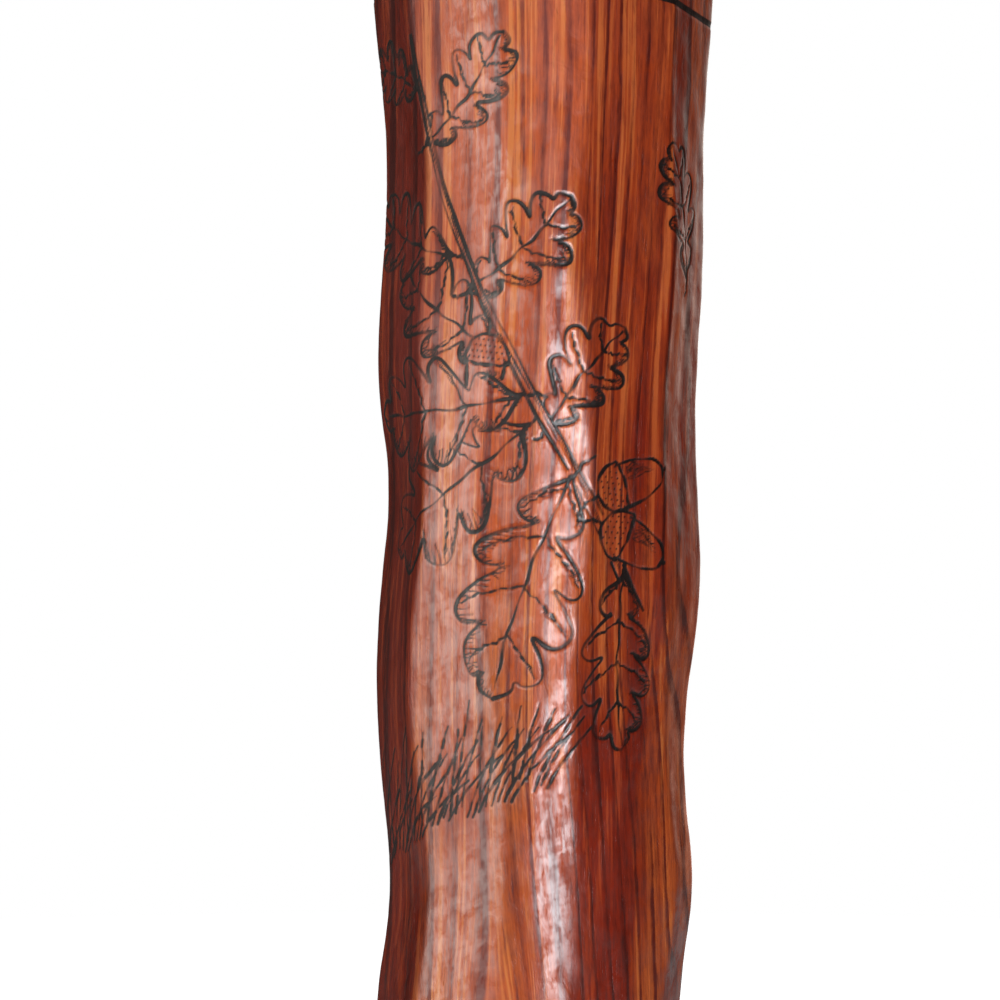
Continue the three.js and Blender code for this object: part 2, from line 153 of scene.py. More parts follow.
def softened(profile, radius, steps=4, closed=False, most=0.45):
    # Rounds the corners of a profile of [radius, height] points, by at most this share of each side
    points = [np.array(point, float) for point in profile]
    rounded = []
    for i, point in enumerate(points):
        if not closed and i in (0, len(points) - 1):
            rounded.append(point)
            continue
        back, ahead = points[i - 1] - point, points[(i + 1) % len(points)] - point
        reach = min(radius, most * np.linalg.norm(back), most * np.linalg.norm(ahead))
        start = point + back / np.linalg.norm(back) * reach
        end = point + ahead / np.linalg.norm(ahead) * reach
        for step in range(steps + 1):
            share = step / steps
            rounded.append((1 - share) ** 2 * start + 2 * share * (1 - share) * point + share ** 2 * end)
    return np.array(rounded)


def turnedGrid(profile, turns):
    profile = np.array(profile)
    return pointsRound(profile[:, 0:1], turns, profile[:, 1:2])


def addAttribute(mesh, name, kind, values):
    attribute = mesh.attributes.new(name, kind, "POINT")
    field = "vector" if kind == "FLOAT_VECTOR" else "value"
    attribute.data.foreach_set(field, np.asarray(values, np.float32).reshape(-1))


def linked(name, data):
    piece = bpy.data.objects.new(name, data)
    bpy.context.scene.collection.objects.link(piece)
    return piece


def place(mesh, material, body, node):
    piece = linked(mesh.name, mesh)
    mesh.materials.append(material)
    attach(piece, body)
    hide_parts(node)


# Shader maths: a socket that can be added, multiplied and so on

class Shade:
    def __init__(self, tree, socket=None):
        self.tree = tree
        self.socket = socket

    def make(self, kind, settings=None, inputs=None, output=0):
        node = self.tree.nodes.new(kind)
        for name, value in (settings or {}).items():
            setattr(node, name, value)
        for name, value in (inputs or {}).items():
            if isinstance(value, Shade):
                self.tree.links.new(value.socket, node.inputs[name])
            else:
                node.inputs[name].default_value = value
        return Shade(self.tree, node.outputs[output]) if node.outputs else None

    def math(self, operation, *values, **settings):
        isVector = any(isinstance(value, Shade) and value.socket.type == "VECTOR" for value in values)
        kind = "ShaderNodeVectorMath" if isVector else "ShaderNodeMath"
        if isVector:
            values = [(value,) * 3 if isinstance(value, (int, float)) else value for value in values]
        return self.make(kind, {"operation": operation, **settings}, dict(enumerate(values)))

    def __add__(self, other):
        return self.math("ADD", self, other)

    def __radd__(self, other):
        return self.math("ADD", other, self)

    def __sub__(self, other):
        return self.math("SUBTRACT", self, other)

    def __rsub__(self, other):
        return self.math("SUBTRACT", other, self)

    def __mul__(self, other):
        return self.math("MULTIPLY", self, other)

    def __rmul__(self, other):
        return self.math("MULTIPLY", other, self)

    def __truediv__(self, other):
        return self.math("DIVIDE", self, other)

    def fract(self):
        return self.math("FRACT", self)

    def floor(self):
        return self.math("FLOOR", self)

    def size(self):
        return self.math("ABSOLUTE", self)

    def larger(self, other):
        return self.math("MAXIMUM", self, other)

    def clipped(self):
        return self.math("MULTIPLY", self, 1, use_clamp=True)

    def between(self, low, high):
        # 0 below low, 1 above high, and smooth between them
        inputs = {"Value": self, "From Min": low, "From Max": high}
        return self.make("ShaderNodeMapRange", {"interpolation_type": "SMOOTHSTEP"}, inputs)

    def tint(self, first, second):
        # the first colour where this value is 0, the second where it is 1
        return self.make("ShaderNodeMix", {"data_type": "RGBA"}, {0: self, 6: first, 7: second}, output=2)

    def part(self, name):
        return self.make("ShaderNodeSeparateXYZ", None, {"Vector": self}, output=name)

    def stretched(self, x, y, z):
        return self.math("MULTIPLY", self, (x, y, z))

    def noise(self, detail=2, roughness=0.5, scale=1, distortion=0):
        inputs = {"Vector": self, "Scale": scale, "Detail": detail, "Roughness": roughness,
                  "Distortion": distortion}
        return self.make("ShaderNodeTexNoise", None, inputs)

    def pattern(self, x, y, z, detail, roughness=0.5, distortion=0):
        return self.stretched(x, y, z).noise(detail, roughness, distortion=distortion)

    def dice(self):
        return self.make("ShaderNodeTexWhiteNoise", {"noise_dimensions": "1D"}, {"W": self})

    def bump(self, distance, strength=1, under=None):
        inputs = {"Height": self, "Distance": distance * mm, "Strength": strength}
        if under:
            inputs["Normal"] = under
        return self.make("ShaderNodeBump", None, inputs)

    def attribute(self, name, output="Fac"):
        return self.make("ShaderNodeAttribute", {"attribute_name": name}, None, output)

    def spot(self):
        # the place on the piece in millimetres
        return self.make("ShaderNodeTexCoord", None, None, "Object") * (1 / mm)

    def ray(self, kind):
        return self.make("ShaderNodeLightPath", None, None, "Is %s Ray" % kind)


def newMaterial(name):
    material = bpy.data.materials.new(name)
    material.use_nodes = True
    material.node_tree.nodes.clear()
    return material, Shade(material.node_tree)


def finishMaterial(start, colour, roughness, normal, constants):
    inputs = {"Base Color": colour, "Roughness": roughness, "Normal": normal, **constants}
    shader = start.make("ShaderNodeBsdfPrincipled", None, inputs)
    start.make("ShaderNodeOutputMaterial", None, {0: shader})


# The carved surface of the shaft, which follows the frame's

shaft = {
    "base": top("ferrule") + seatGap,
    "length": 785,
    "footRadius": 12.7,
    "jointRadius": 18.8,
    "ferruleSpigot": 11.1,
    "pilotRadius": 2.2,
    "pilotTop": 41,
    "spigotRadius": 12,
    "boreRadius": 5.2,
    "boreDepth": 46.2,
    "bow": 2.6,
    "bowStartShare": 0.02,
    "sweep": 5.5,
    "sweepStartShare": 0.1,
    "sweepTurns": 0.8,
    "endBlend": 14,
    "textureBlendShare": 0.012,
    "flatShare": 0.983,
    "ridgeSharpness": 110,
    "leastFacing": 0.05,     # a facet that faces less towards a point than this doesn't shape it
    "cutDepth": 0.55,
    "hollowDepth": 1.3,
    "driftWaveShare": 0.091,
    "scoopRiseShare": 0.062,
    "chatter": ((0.006, 2.6, 3, 3), (0.035, 8, 5, 4)),    # how deep, high and wide, and the seed
}

# Each long knife facet: the share of a turn where its middle lies, how deep its waves are, their length
# and crest as shares of the shaft, how far it drifts round and where up the shaft it does so most, how
# dark its wood is made, and how much less than the others it is cut, as a share of the radius. The
# darkness is painted shade on the facets at both sides, which turn away from the lamps, against paler
# front facets; at the back it is stain that differs at random.
knifeFacetShares = [
    (-0.021, 0.3, 0.061, 0.655, -0.006, 0.737, 0.24, 0.012),
    (0.025, 0.5, 0.058, 0.665, -0.004, 0.737, 0.14, 0.012),
    (0.083, 0.25, 0.150, 0.757, 0.004, 0.737, 0.80, -0.014),
    (0.187, 0.5, 0.044, 0.737, 0.006, 0.690, 0.85, 0),
    (0.278, 0.5, 0.043, 0.737, 0.010, 0.660, 0.60, 0),
    (0.369, 1.2, 0.067, 0.731, -0.012, 0.640, 0.40, 0),
    (0.460, 1.0, 0.052, 0.669, 0.012, 0.700, 0.65, 0),
    (0.551, 1.1, 0.073, 0.750, -0.010, 0.720, 0.35, 0),
    (0.642, 1.0, 0.058, 0.690, 0.012, 0.680, 0.55, 0),
    (0.733, 0.7, 0.0478, 0.7224, -0.008, 0.750, 0.80, 0),
    (0.824, 0.7, 0.0478, 0.7224, -0.012, 0.737, 0.75, -0.010),
    (0.915, 0.8, 0.100, 0.748, -0.005, 0.737, 0.25, -0.011),
]

# Short scooped cuts across the corners between facets: turn, up, how much deeper than a facet they go,
# how far up and down they run out, and how dark the wood is made, all shares. The paler wood of the
# scoop at the front right is painted light; the others' is stain.
scoopShares = [
    (0.122, 0.703, 0.046, 0.030, 0.30),
    (0.420, 0.330, 0.040, 0.030, 0.80),
    (0.600, 0.870, 0.038, 0.032, 0.80),
    (0.870, 0.240, 0.042, 0.028, 0.70),
    (0.235, 0.500, 0.040, 0.030, 0.40),
]

# Hollows (deep below 0) and knots: up, turn, deep, long and wide, all shares
hollowShares = [
    (0.045, 0.62, -0.7, 0.03, 0.1),
    (0.09, 0.12, -1, 0.03, 0.11),
    (0.13, 0.84, 0.9, 0.018, 0.08),
    (0.185, 0.46, -1.2, 0.032, 0.12),
    (0.235, 0.02, -0.9, 0.028, 0.1),
    (0.27, 0.3, 1.1, 0.017, 0.08),
    (0.32, 0.77, -1.3, 0.034, 0.12),
    (0.375, 0.2, -1.1, 0.03, 0.11),
    (0.42, 0.93, 1, 0.018, 0.075),
    (0.455, 0.55, -1.2, 0.03, 0.12),
    (0.51, 0.09, -1.2, 0.03, 0.11),
    (0.56, 0.71, 1.1, 0.02, 0.09),
    (0.6, 0.36, -1.1, 0.028, 0.11),
    (0.645, 0.96, -0.8, 0.022, 0.08),
    (0.666, 0.958, -0.35, 0.020, 0.018),
    (0.668, 0.25, -0.6, 0.02, 0.1),
    (0.692, 0.78, -0.65, 0.012, 0.1),
    (0.694, 0.24, 0.35, 0.008, 0.1),
    (0.714, 0.24, -0.25, 0.012, 0.1),
    (0.735, 0.24, 0.2, 0.01, 0.1),
    (0.75, 0.77, -0.5, 0.01, 0.09),
    (0.777, 0.76, -0.25, 0.016, 0.09),
    (0.79, 0.48, -1, 0.026, 0.12),
    (0.81, 0.24, 0.65, 0.026, 0.1),
    (0.83, 0.73, 0.95, 0.018, 0.1),
    (0.865, 0.16, -1.1, 0.028, 0.11),
    (0.915, 0.64, -1, 0.026, 0.11),
    (0.95, 0.9, -0.7, 0.02, 0.1),
]

# Patches of wear and of painted shade: turn in degrees, height, half as wide and half as high, how dull
# the varnish is there, and how much darker the wood is painted (paler where below 0). Down the left side
# and along the edge of the cut at the lower right, the darkening is painted shade.
wearAndShadePatches = [
    (-39, 667, 6, 14, 0.9, 0),
    (-47, 691, 4.5, 11, 0.9, 0),
    (-57, 632, 3.2, 24, 0.85, 0.25),
    (-55, 655, 2.6, 14, 0.8, 0.2),
    (-33, 606, 5, 5.5, 0.6, 0.2),
    (-13, 586, 3, 6, 0.8, -0.1),
    # Painted shade down the left side, which turns away from the lamps
    (-64, 640, 5.5, 75, 0.1, 0.7),
    # Painted shade along the edge of the cut at the lower right
    (49, 628, 1.3, 9, 0, 0.9),
    (42, 618, 1.4, 8, 0, 0.9),
    (33, 609.5, 1.6, 6, 0, 0.8),
    (32, 680, 6, 20, 0, -0.2),
    (29, 600, 6, 11, 0.3, 0.9),
    (3, 594, 9, 20, 0, 0.2),
    (9, 692, 8, 9, 0.7, 0.15),
]

# Between these turns to the left and to the right, the varnish grows dull towards the back.
backWear = {
    "left": (math.radians(54), math.radians(70)),
    "right": (math.radians(82), math.radians(108)),
    "dull": 0.7,
}

# Where the grain parts and flows round: turn in degrees, height, half as wide and half as high, how much
grainEyes = [
    (-15, 582, 4.5, 14, 0.8),
    (47, 164, 6, 15, 0.6),
    (108, 274, 6, 14, 0.6),
    (-25, 392, 6, 15, 0.6),
    (-104, 502, 6, 14, 0.6),
    (-97, 714, 7, 15, 0.6),
]


def lineOfShaft(along):
    held = np.sin(np.pi * along) ** 2
    bowed = fullTurn * (along + shaft["bowStartShare"])
    swept = fullTurn * (along * shaft["sweepTurns"] + shaft["sweepStartShare"])
    return shaft["bow"] * held * np.sin(bowed), shaft["sweep"] * held * np.sin(swept)


def facetCloseness(turn, middle, flat, plain):
    # Large where a flat cut is the nearest surface to the shaft's line, and 0 where it faces away
    facing = np.cos(turn - middle)
    reach = flat / np.maximum(facing, shaft["leastFacing"]) / plain
    return np.where(facing > shaft["leastFacing"], reach, np.inf) ** -shaft["ridgeSharpness"]


def carvedSkin(turn, along):
    # The radius about the shaft's own line, and the stain and painted shade of the facets that meet there
    plain = mixed(shaft["footRadius"], shaft["jointRadius"], along)
    cuts = []
    for turnShare, deep, wave, crest, drift, driftCrest, stainAndShade, proud in knifeFacetShares:
        sway = drift * np.cos(fullTurn * (along - driftCrest) / shaft["driftWaveShare"])
        flat = plain * (shaft["flatShare"] + proud)
        flat = flat + shaft["cutDepth"] * deep * np.cos(fullTurn * (along - crest) / wave)
        cuts.append((facetCloseness(turn, fullTurn * (turnShare + sway), flat, plain), stainAndShade))
    for turnShare, up, deep, long, stainAndShade in scoopShares:
        flat = plain * (shaft["flatShare"] - deep + shaft["scoopRiseShare"] * ((along - up) / long) ** 2)
        cuts.append((facetCloseness(turn, fullTurn * turnShare, flat, plain), stainAndShade))
    closeness = sum(near for near, _ in cuts)
    stainedAndShaded = sum(near * stainAndShade for near, stainAndShade in cuts)
    carved = plain * closeness ** (-1 / shaft["ridgeSharpness"])
    for up, turnShare, deep, long, wide in hollowShares:
        apart = turnFrom(turn, fullTurn * turnShare)
        away = ((along - up) / long) ** 2 + (apart / (fullTurn * wide)) ** 2
        carved = carved + shaft["hollowDepth"] * deep * np.exp(-away)
    free = awayFromEnds(along, shaft["endBlend"] / shaft["length"])
    return plain + (carved - plain) * free, stainedAndShaded / closeness


def patchOn(turn, height, middle, level, wide, high):
    # 1 in the middle of a patch and 0 far from it, and how many millimetres round from its middle
    apart = turnFrom(turn, math.radians(middle)) * drawing["meanRadius"]
    return np.exp(-(apart / wide) ** 2 - ((height - level) / high) ** 2), apart


def wornAndShaded(turn, height):
    # How dull the varnish is, and how much darker the wood is painted, partly as painted shade
    dull = backWear["dull"] * (smooth(-turn, *backWear["left"]) + smooth(turn, *backWear["right"]))
    dark = 0
    for *patch, dulls, darkens in wearAndShadePatches:
        share, _ = patchOn(turn, height, *patch)
        dull, dark = dull + dulls * share, dark + darkens * share
    return dull, dark


# The burned drawing: oak leaves, acorns, a twig and grass. It is laid out flat, as [way round at the
# picture's mean radius, height]. A heading is in degrees, 90 pointing up the stick.

drawing = {
    "meanRadius": 17.3,
    "outline": 0.155,            # half the width of each kind of line
    "vein": 0.105,
    "hatch": 0.075,
    "softness": 0.16,
    "wobble": 0.16,
    "wobbleTurns": (1.3, 2.9, 5.3),
    "widthChange": 0.35,
    "tipWidth": 0.45,
    "tipSteepness": 7,
    "paleness": 0.22,
    "dotLength": 0.05,
    "grooveDepth": 0.07,
    "seed": 11,
}
penDice = np.random.default_rng(drawing["seed"])
strokes = []


def leftOf(points):
    # The direction to the left of a line, at each of its points
    step = np.gradient(points, axis=0)
    return np.stack([-step[:, 1], step[:, 0]], axis=1) / (np.linalg.norm(step, axis=1)[:, None] + tiny)


def stroke(points, halfWidth, strength=1.0, taper=True, wobble=1.0):
    points = np.asarray(points, float)
    along = np.linspace(0, 1, len(points))
    sway = sum(np.sin(along * fullTurn * turns + penDice.uniform(0, fullTurn))
               for turns in drawing["wobbleTurns"])
    points = points + leftOf(points) * (sway * drawing["wobble"] * wobble / 2)[:, None]
    wave = np.sin(along * fullTurn * penDice.uniform(1, 4) + penDice.uniform(0, fullTurn))
    width = halfWidth * (1 + drawing["widthChange"] * wave)
    if taper:
        width = width * mixed(drawing["tipWidth"], 1, np.minimum(1, drawing["tipSteepness"] * (1 - along)))
    fading = 1 - np.sin(along * fullTurn * penDice.uniform(2, 6))
    strokes.append((points, width, strength * (1 - drawing["paleness"] * fading)))


def hideBehind(outline):
    # Takes out what has been drawn inside a closed outline
    x0, y0 = outline.T
    x1, y1 = np.roll(outline, -1, axis=0).T
    for points, _, darks in strokes:
        x, y = points[:, :1], points[:, 1:]
        crosses = ((y0 > y) != (y1 > y)) & (x < (x1 - x0) * (y - y0) / (y1 - y0 + tiny) + x0)
        inside = crosses.sum(axis=1) % 2 == 1
        darks[inside] = 0
        darks[:-1][inside[1:]] = 0


def dot(centre, radius, strength=1.0):
    centre = np.asarray(centre, float)
    ends = np.array([centre, centre + drawing["dotLength"]])
    strokes.append((ends, np.full(2, radius), np.full(2, strength)))


def curve(start, heading, length, bend, steps=24):
    # Points along an arc whose heading turns by bend
    headings = heading + bend * np.linspace(0, 1, steps)
    path = np.stack([np.cos(headings), np.sin(headings)], axis=1) * length / (steps - 1)
    path = np.cumsum(path, axis=0) - path[0]
    return np.array(start) + path, headings


def bezier(*points, steps=60):
    share = np.linspace(0, 1, steps)[:, None]
    degree = len(points) - 1
    return sum(math.comb(degree, n) * share ** n * (1 - share) ** (degree - n) * np.array(point, float)
               for n, point in enumerate(points))


# An oak leaf. Each place on it is how far along it lies and how far out, as shares of its length and width.
leafShares = {
    "edge": [(0.0, 0.0), (0.05, 0.04), (0.12, 0.20), (0.20, 0.26), (0.25, 0.18), (0.25, 0.09), (0.33, 0.30),
             (0.43, 0.45), (0.50, 0.36), (0.47, 0.16), (0.55, 0.34), (0.66, 0.49), (0.74, 0.38), (0.69, 0.17),
             (0.78, 0.30), (0.88, 0.33), (0.92, 0.22), (0.90, 0.12), (0.97, 0.13), (1.0, 0.0)],
    "edgeChange": (0.015, 0.03),
    "tips": [(0.20, 0.24), (0.43, 0.42), (0.66, 0.45), (0.88, 0.29)],
    "veinStart": 0.15,           # how much nearer the stalk than its tip a vein starts
    "veinBend": 0.12,
    "veinReach": 0.92,
    "forks": ((0.45, 0.025), (0.7, 0.0175)),     # where on the vein, and how much further along it ends
    "forkReach": 0.17,
    "hatchReach": (0.62, 0.85),
    "hatchLean": 0.02,
    "stalk": 0.13,
}


def rounded(points, passes=3):
    # Cuts the corners of a line again and again, which leaves a smooth one
    points = np.array(points, float)
    for _ in range(passes):
        first = points[:-1] * 0.75 + points[1:] * 0.25
        second = points[:-1] * 0.25 + points[1:] * 0.75
        between = np.stack([first, second], axis=1).reshape(-1, 2)
        points = np.concatenate([points[:1], between, points[-1:]])
    return points


def oakLeaf(start, heading, length, width, bend=0.3, shadeSide=1):
    spine, headings = curve(start, math.radians(heading), length, bend, steps=90)
    aside = np.stack([-np.sin(headings), np.cos(headings)], axis=1)
    share = np.linspace(0, 1, len(spine))

    def onLeaf(places, side):
        along, out = np.array(places).T
        middle = np.stack([np.interp(along, share, spine[:, n]) for n in (0, 1)], axis=1)
        across = np.stack([np.interp(along, share, aside[:, n]) for n in (0, 1)], axis=1)
        return middle + across * (out * width * side)[:, None]

    edges = []
    for side in (1, -1):
        shift = np.array([[penDice.uniform(-most, most) for most in leafShares["edgeChange"]]
                          for _ in leafShares["edge"]])
        shift[[0, -1]] = 0
        edges.append(rounded(np.array(leafShares["edge"]) + shift))
    hideBehind(np.concatenate([onLeaf(edges[0], 1), onLeaf(edges[1], -1)[::-1]]))
    for side, edgeShares in zip((1, -1), edges):
        stroke(onLeaf(edgeShares, side), drawing["outline"], taper=False, wobble=0.5)
        for along, out in leafShares["tips"]:
            root, tip = np.array([along - leafShares["veinStart"], 0]), np.array([along, out])
            reached = tip * (1, leafShares["veinReach"])
            vein = [mixed(root, reached - (leafShares["veinBend"] * t * (1 - t), 0), t)
                    for t in np.linspace(0, 1, 12)]
            stroke(onLeaf(vein, side), drawing["vein"])
            for fork, further in leafShares["forks"]:
                parting = mixed(root, tip, fork)
                end = parting + (further, out * leafShares["forkReach"])
                stroke(onLeaf([parting, end], side), drawing["hatch"], 0.9)
        if side == shadeSide:
            for along, out in edgeShares[4:-4:2]:
                inner, lean = out * penDice.uniform(*leafShares["hatchReach"]), leafShares["hatchLean"]
                places = [(along, out), (along - lean * 0.75, (out + inner) / 2), (along - lean, inner)]
                stroke(onLeaf(places, side), drawing["hatch"], 0.9)
    stalk, _ = curve(spine[0], math.radians(heading + 180), length * leafShares["stalk"], -0.5, steps=8)
    stroke(stalk[::-1], drawing["vein"] * 1.5, taper=False)
    stroke(spine[:-3], drawing["vein"] * 1.25)


# An acorn's measures, as shares of its size
acornShares = {
    "cupHalf": 0.46,
    "cupDepth": 0.5,
    "lip": 0.1,
    "nutHalf": 0.39,
    "nutLength": 0.95,
    "bluntness": 0.8,
    "tip": 1.01,
    "scaleRows": [0.12, 0.235, 0.35, 0.465],
    "scalePitch": 0.105,
    "scalesHalf": 0.22,
    "scalesWiden": 0.07,
    "shade": [(0.08, 0.55), (0.125, 0.49), (0.17, 0.43), (0.215, 0.37), (0.26, 0.31), (0.305, 0.25)],
    "shadeStart": 0.2,
    "stalk": 0.5,
}


def acorn(start, heading, size):
    heading = math.radians(heading)
    ahead = np.array([math.cos(heading), math.sin(heading)]) * size
    across = np.array([-ahead[1], ahead[0]])
    start = np.array(start, float)
    cupEnd = start + ahead * acornShares["cupDepth"]
    sweep = np.linspace(0, np.pi, 26)
    wide, deep = np.outer(np.cos(sweep), across), np.outer(np.sin(sweep), ahead)
    nut = np.outer(np.sin(sweep) ** acornShares["bluntness"], ahead) * acornShares["nutLength"]
    nutEdge = cupEnd + wide * acornShares["nutHalf"] + nut
    cupWide, cupDeep = wide * acornShares["cupHalf"], deep * acornShares["cupDepth"]
    hideBehind(np.concatenate([nutEdge, cupEnd - cupWide - cupDeep]))
    for edge in (cupEnd + cupWide - cupDeep, cupEnd + cupWide + deep * acornShares["lip"], nutEdge):
        stroke(edge, drawing["outline"], taper=False, wobble=0.5)
    dot(cupEnd + ahead * acornShares["tip"], drawing["outline"] * 1.2)
    for row, up in enumerate(acornShares["scaleRows"]):
        for column in range(-4, 5):
            offset = acornShares["scalePitch"] * (column + 0.5 * (row % 2))
            if abs(offset) < acornShares["scalesHalf"] + acornShares["scalesWiden"] * row:
                dot(start + ahead * up + across * offset, drawing["hatch"], 0.85)
    for offset, length in acornShares["shade"]:
        root = cupEnd + across * offset + ahead * acornShares["shadeStart"]
        stroke(np.linspace(root, root + ahead * length, 7), drawing["hatch"], 0.8)
    stalk, _ = curve(start, heading + math.pi, size * acornShares["stalk"], 0.7, steps=8)
    stroke(stalk, drawing["vein"] * 1.3, taper=False)


def twig(points, halfWidth, narrowing=0.7, markPoints=5):
    # A double line with short bark marks between its edges
    across = leftOf(points)
    width = halfWidth * (1 - narrowing * np.linspace(0, 1, len(points)))
    hideBehind(np.concatenate([points + across * width[:, None], (points - across * width[:, None])[::-1]]))
    for side in (1, -1):
        stroke(points + across * (width * side)[:, None], drawing["outline"], taper=False)
    for n in range(0, len(points) - markPoints, 2):
        lean = penDice.uniform(-0.6, 0.5)
        here = slice(n, n + markPoints)
        mark = points[here] + across[here] * (width[here] * lean)[:, None]
        stroke(mark, drawing["hatch"], 0.8, wobble=0.3)


grass = {
    "heading": 74,
    "fan": 30,               # degrees between the outermost blades
    "bend": -0.25,
    "bendFan": 0.5,
    "unevenFeet": 0.8,
    "unevenHeadings": 4,
}


def grassTuft(middle, blades, length, spread):
    for n in range(blades):
        side = (n + 0.5) / blades - 0.5
        raised = penDice.uniform(-grass["unevenFeet"], grass["unevenFeet"])
        start = np.array(middle) + np.array([side * spread, raised])
        leaning = penDice.uniform(-grass["unevenHeadings"], grass["unevenHeadings"])
        heading = math.radians(grass["heading"] - grass["fan"] * side + leaning)
        bend = grass["bend"] - grass["bendFan"] * side
        blade, _ = curve(start, heading, length * penDice.uniform(0.6, 1), bend, steps=14)
        stroke(blade, drawing["vein"] * penDice.uniform(0.9, 1.5), 0.95, wobble=0.4)


def drawPicture():
    # From the back to the front. A leaf has its start, heading, length, width, bend and shaded side, and an
    # acorn its start, heading and size.
    for n in range(7):
        grassTuft((-24 + 3.9 * n, 601 + n * 1.5), 6, 15 - n * 0.6, 4.5)
    oakLeaf((19.5, 664), 98, 15, 8, 0.3, 1)
    oakLeaf((-15.2, 684), 152, 11, 7.5, 0.3, -1)
    oakLeaf((-14.0, 678), 38, 15, 9, 0.4, -1)
    oakLeaf((-4.6, 655.5), 152, 17, 11, -0.3, 1)
    oakLeaf((-10.2, 666), 172, 16, 10, -0.5, 1)
    oakLeaf((-8.2, 662), 30, 15, 9.5, 0.4, -1)
    oakLeaf((-1.0, 648), 221, 24, 13.5, -0.25, 1)
    oakLeaf((0.8, 647.5), 62, 14, 9, -0.4, -1)
    twig(bezier((12, 628), (6, 640), (1, 648), (-7, 660), (-13, 672), (-16, 690)), 0.75)
    acorn((-5.5, 657.5), 262, 5.5)
    oakLeaf((-2.0, 651), 193, 22, 13.5, -0.3, 1)
    oakLeaf((10.0, 632.5), 262, 19, 10.5, 0.3, 1)
    oakLeaf((3.8, 642.5), 240, 25, 14.5, 0.35, -1)
    acorn((6.6, 640.5), 18, 6)
    acorn((7.2, 637.5), 332, 6)


def burned(across, heights):
    # How deep the burn is at each point of a grid, from 0 to 1
    burn = np.zeros((len(heights), len(across)), np.float32)
    soft = drawing["softness"]
    for points, halves, darks in strokes:
        for i in range(len(points) - 1):
            a, b = points[i], points[i + 1]
            half = (halves[i] + halves[i + 1]) / 2
            reach = half + soft
            columns = np.searchsorted(across, [min(a[0], b[0]) - reach, max(a[0], b[0]) + reach])
            rows = np.searchsorted(heights, [min(a[1], b[1]) - reach, max(a[1], b[1]) + reach])
            x = across[columns[0]:columns[1]][None, :] - a[0]
            y = heights[rows[0]:rows[1]][:, None] - a[1]
            step = b - a
            share = np.clip((x * step[0] + y * step[1]) / (step @ step + tiny), 0, 1)
            distance = np.hypot(x - share * step[0], y - share * step[1])
            mark = darks[i] * (1 - smooth(distance, half - soft / 2, half + soft))
            patch = burn[rows[0]:rows[1], columns[0]:columns[1]]
            np.maximum(patch, mark, out=patch)
    return burn


# The burned line that runs slantwise round the stick above the picture
ring = {
    "height": 693.6,
    "tilt": 2.3,
    "towards": math.radians(-45),
    "waver": 0.12,
    "waverTurns": 5,
    "edges": (0.21, 0.46),       # the burn is full inside the first distance and gone beyond the second
}


def ringGroove(turn, z):
    line = ring["height"] + ring["tilt"] * np.cos(turn - ring["towards"])
    line = line + ring["waver"] * np.sin(turn * ring["waverTurns"])
    return 1 - smooth(np.abs(z - line), *ring["edges"])


# The shaft's mesh: a coarse net all over, and a finer one where the picture is

net = {
    "wayRound": 0.64,
    "height": 1.3,
    "finer": 4,
    "windowTurn": math.radians(104),
    "windowLow": 577,
    "windowHigh": 703,
    "pathsBelow": (-12, -9, -6, -3),     # where the rings at both ends lie on the map for baking
    "pathsAbove": (5, 11, 17, 23),
}

# The trunk that the wood was split from: where its pith lies from the piece's axis, a seed, and how far its
# growth rings stray, over what width and height
trunk = {
    "shaft": (-70, 8, 21),
    "knob": (-45, 12, 31),
    "strays": ((0.8, 55, 120), (0.09, 9, 34)),
}


def trunkPlace(turn, radius, z, piece):
    # The place in the trunk that the wood was cut from: distance from its pith, way round it, and height
    pithX, pithY, seed = trunk[piece]
    x, y = radius * np.sin(turn) - pithX, -radius * np.cos(turn) - pithY
    away = np.hypot(x, y)
    for n, (far, wide, high) in enumerate(trunk["strays"]):
        away = away + far * unevenness(seed + n, (x, wide), (y, wide), (z, high))
    wayRound = np.arctan2(y, x) * -pithX
    return np.stack([away, wayRound, z + 0 * wayRound], axis=-1)


def shaftSkin(across, heights):
    # The points and the surface values of a net with these ways round and heights
    turn = (across / drawing["meanRadius"])[None, :]
    along = ((heights - shaft["base"]) / shaft["length"])[:, None]
    radius, stainAndShade = carvedSkin(turn, along)
    z = heights[:, None] + 0 * turn
    free = awayFromEnds(along, shaft["textureBlendShare"])
    x, y = radius * np.sin(turn), radius * np.cos(turn)
    chatter = sum(deep * unevenness(seed, (z, high), (x, wide), (y, wide))
                  for deep, high, wide, seed in shaft["chatter"])
    burn = burned(across, heights)
    grooves = np.maximum(burn, ringGroove(turn, z))
    cut = radius + free * (chatter - drawing["grooveDepth"] * grooves)
    points = pointsRound(cut, turn, z, *lineOfShaft(along))
    grain = trunkPlace(turn, radius, z, "shaft")
    for *eye, much in grainEyes:
        share, apart = patchOn(turn, z, *eye)
        grain[..., 0] -= much * apart * share
    dull, dark = wornAndShaded(turn, z)
    # This darkness is stain, and painted shade on the side facets and in some patches.
    return {"points": points, "grain": grain, "burn": burn, "stainAndShade": stainAndShade + dark, "dull": dull}


def evenly(low, high, spacing):
    return np.linspace(low, high, round((high - low) / spacing) + 1)


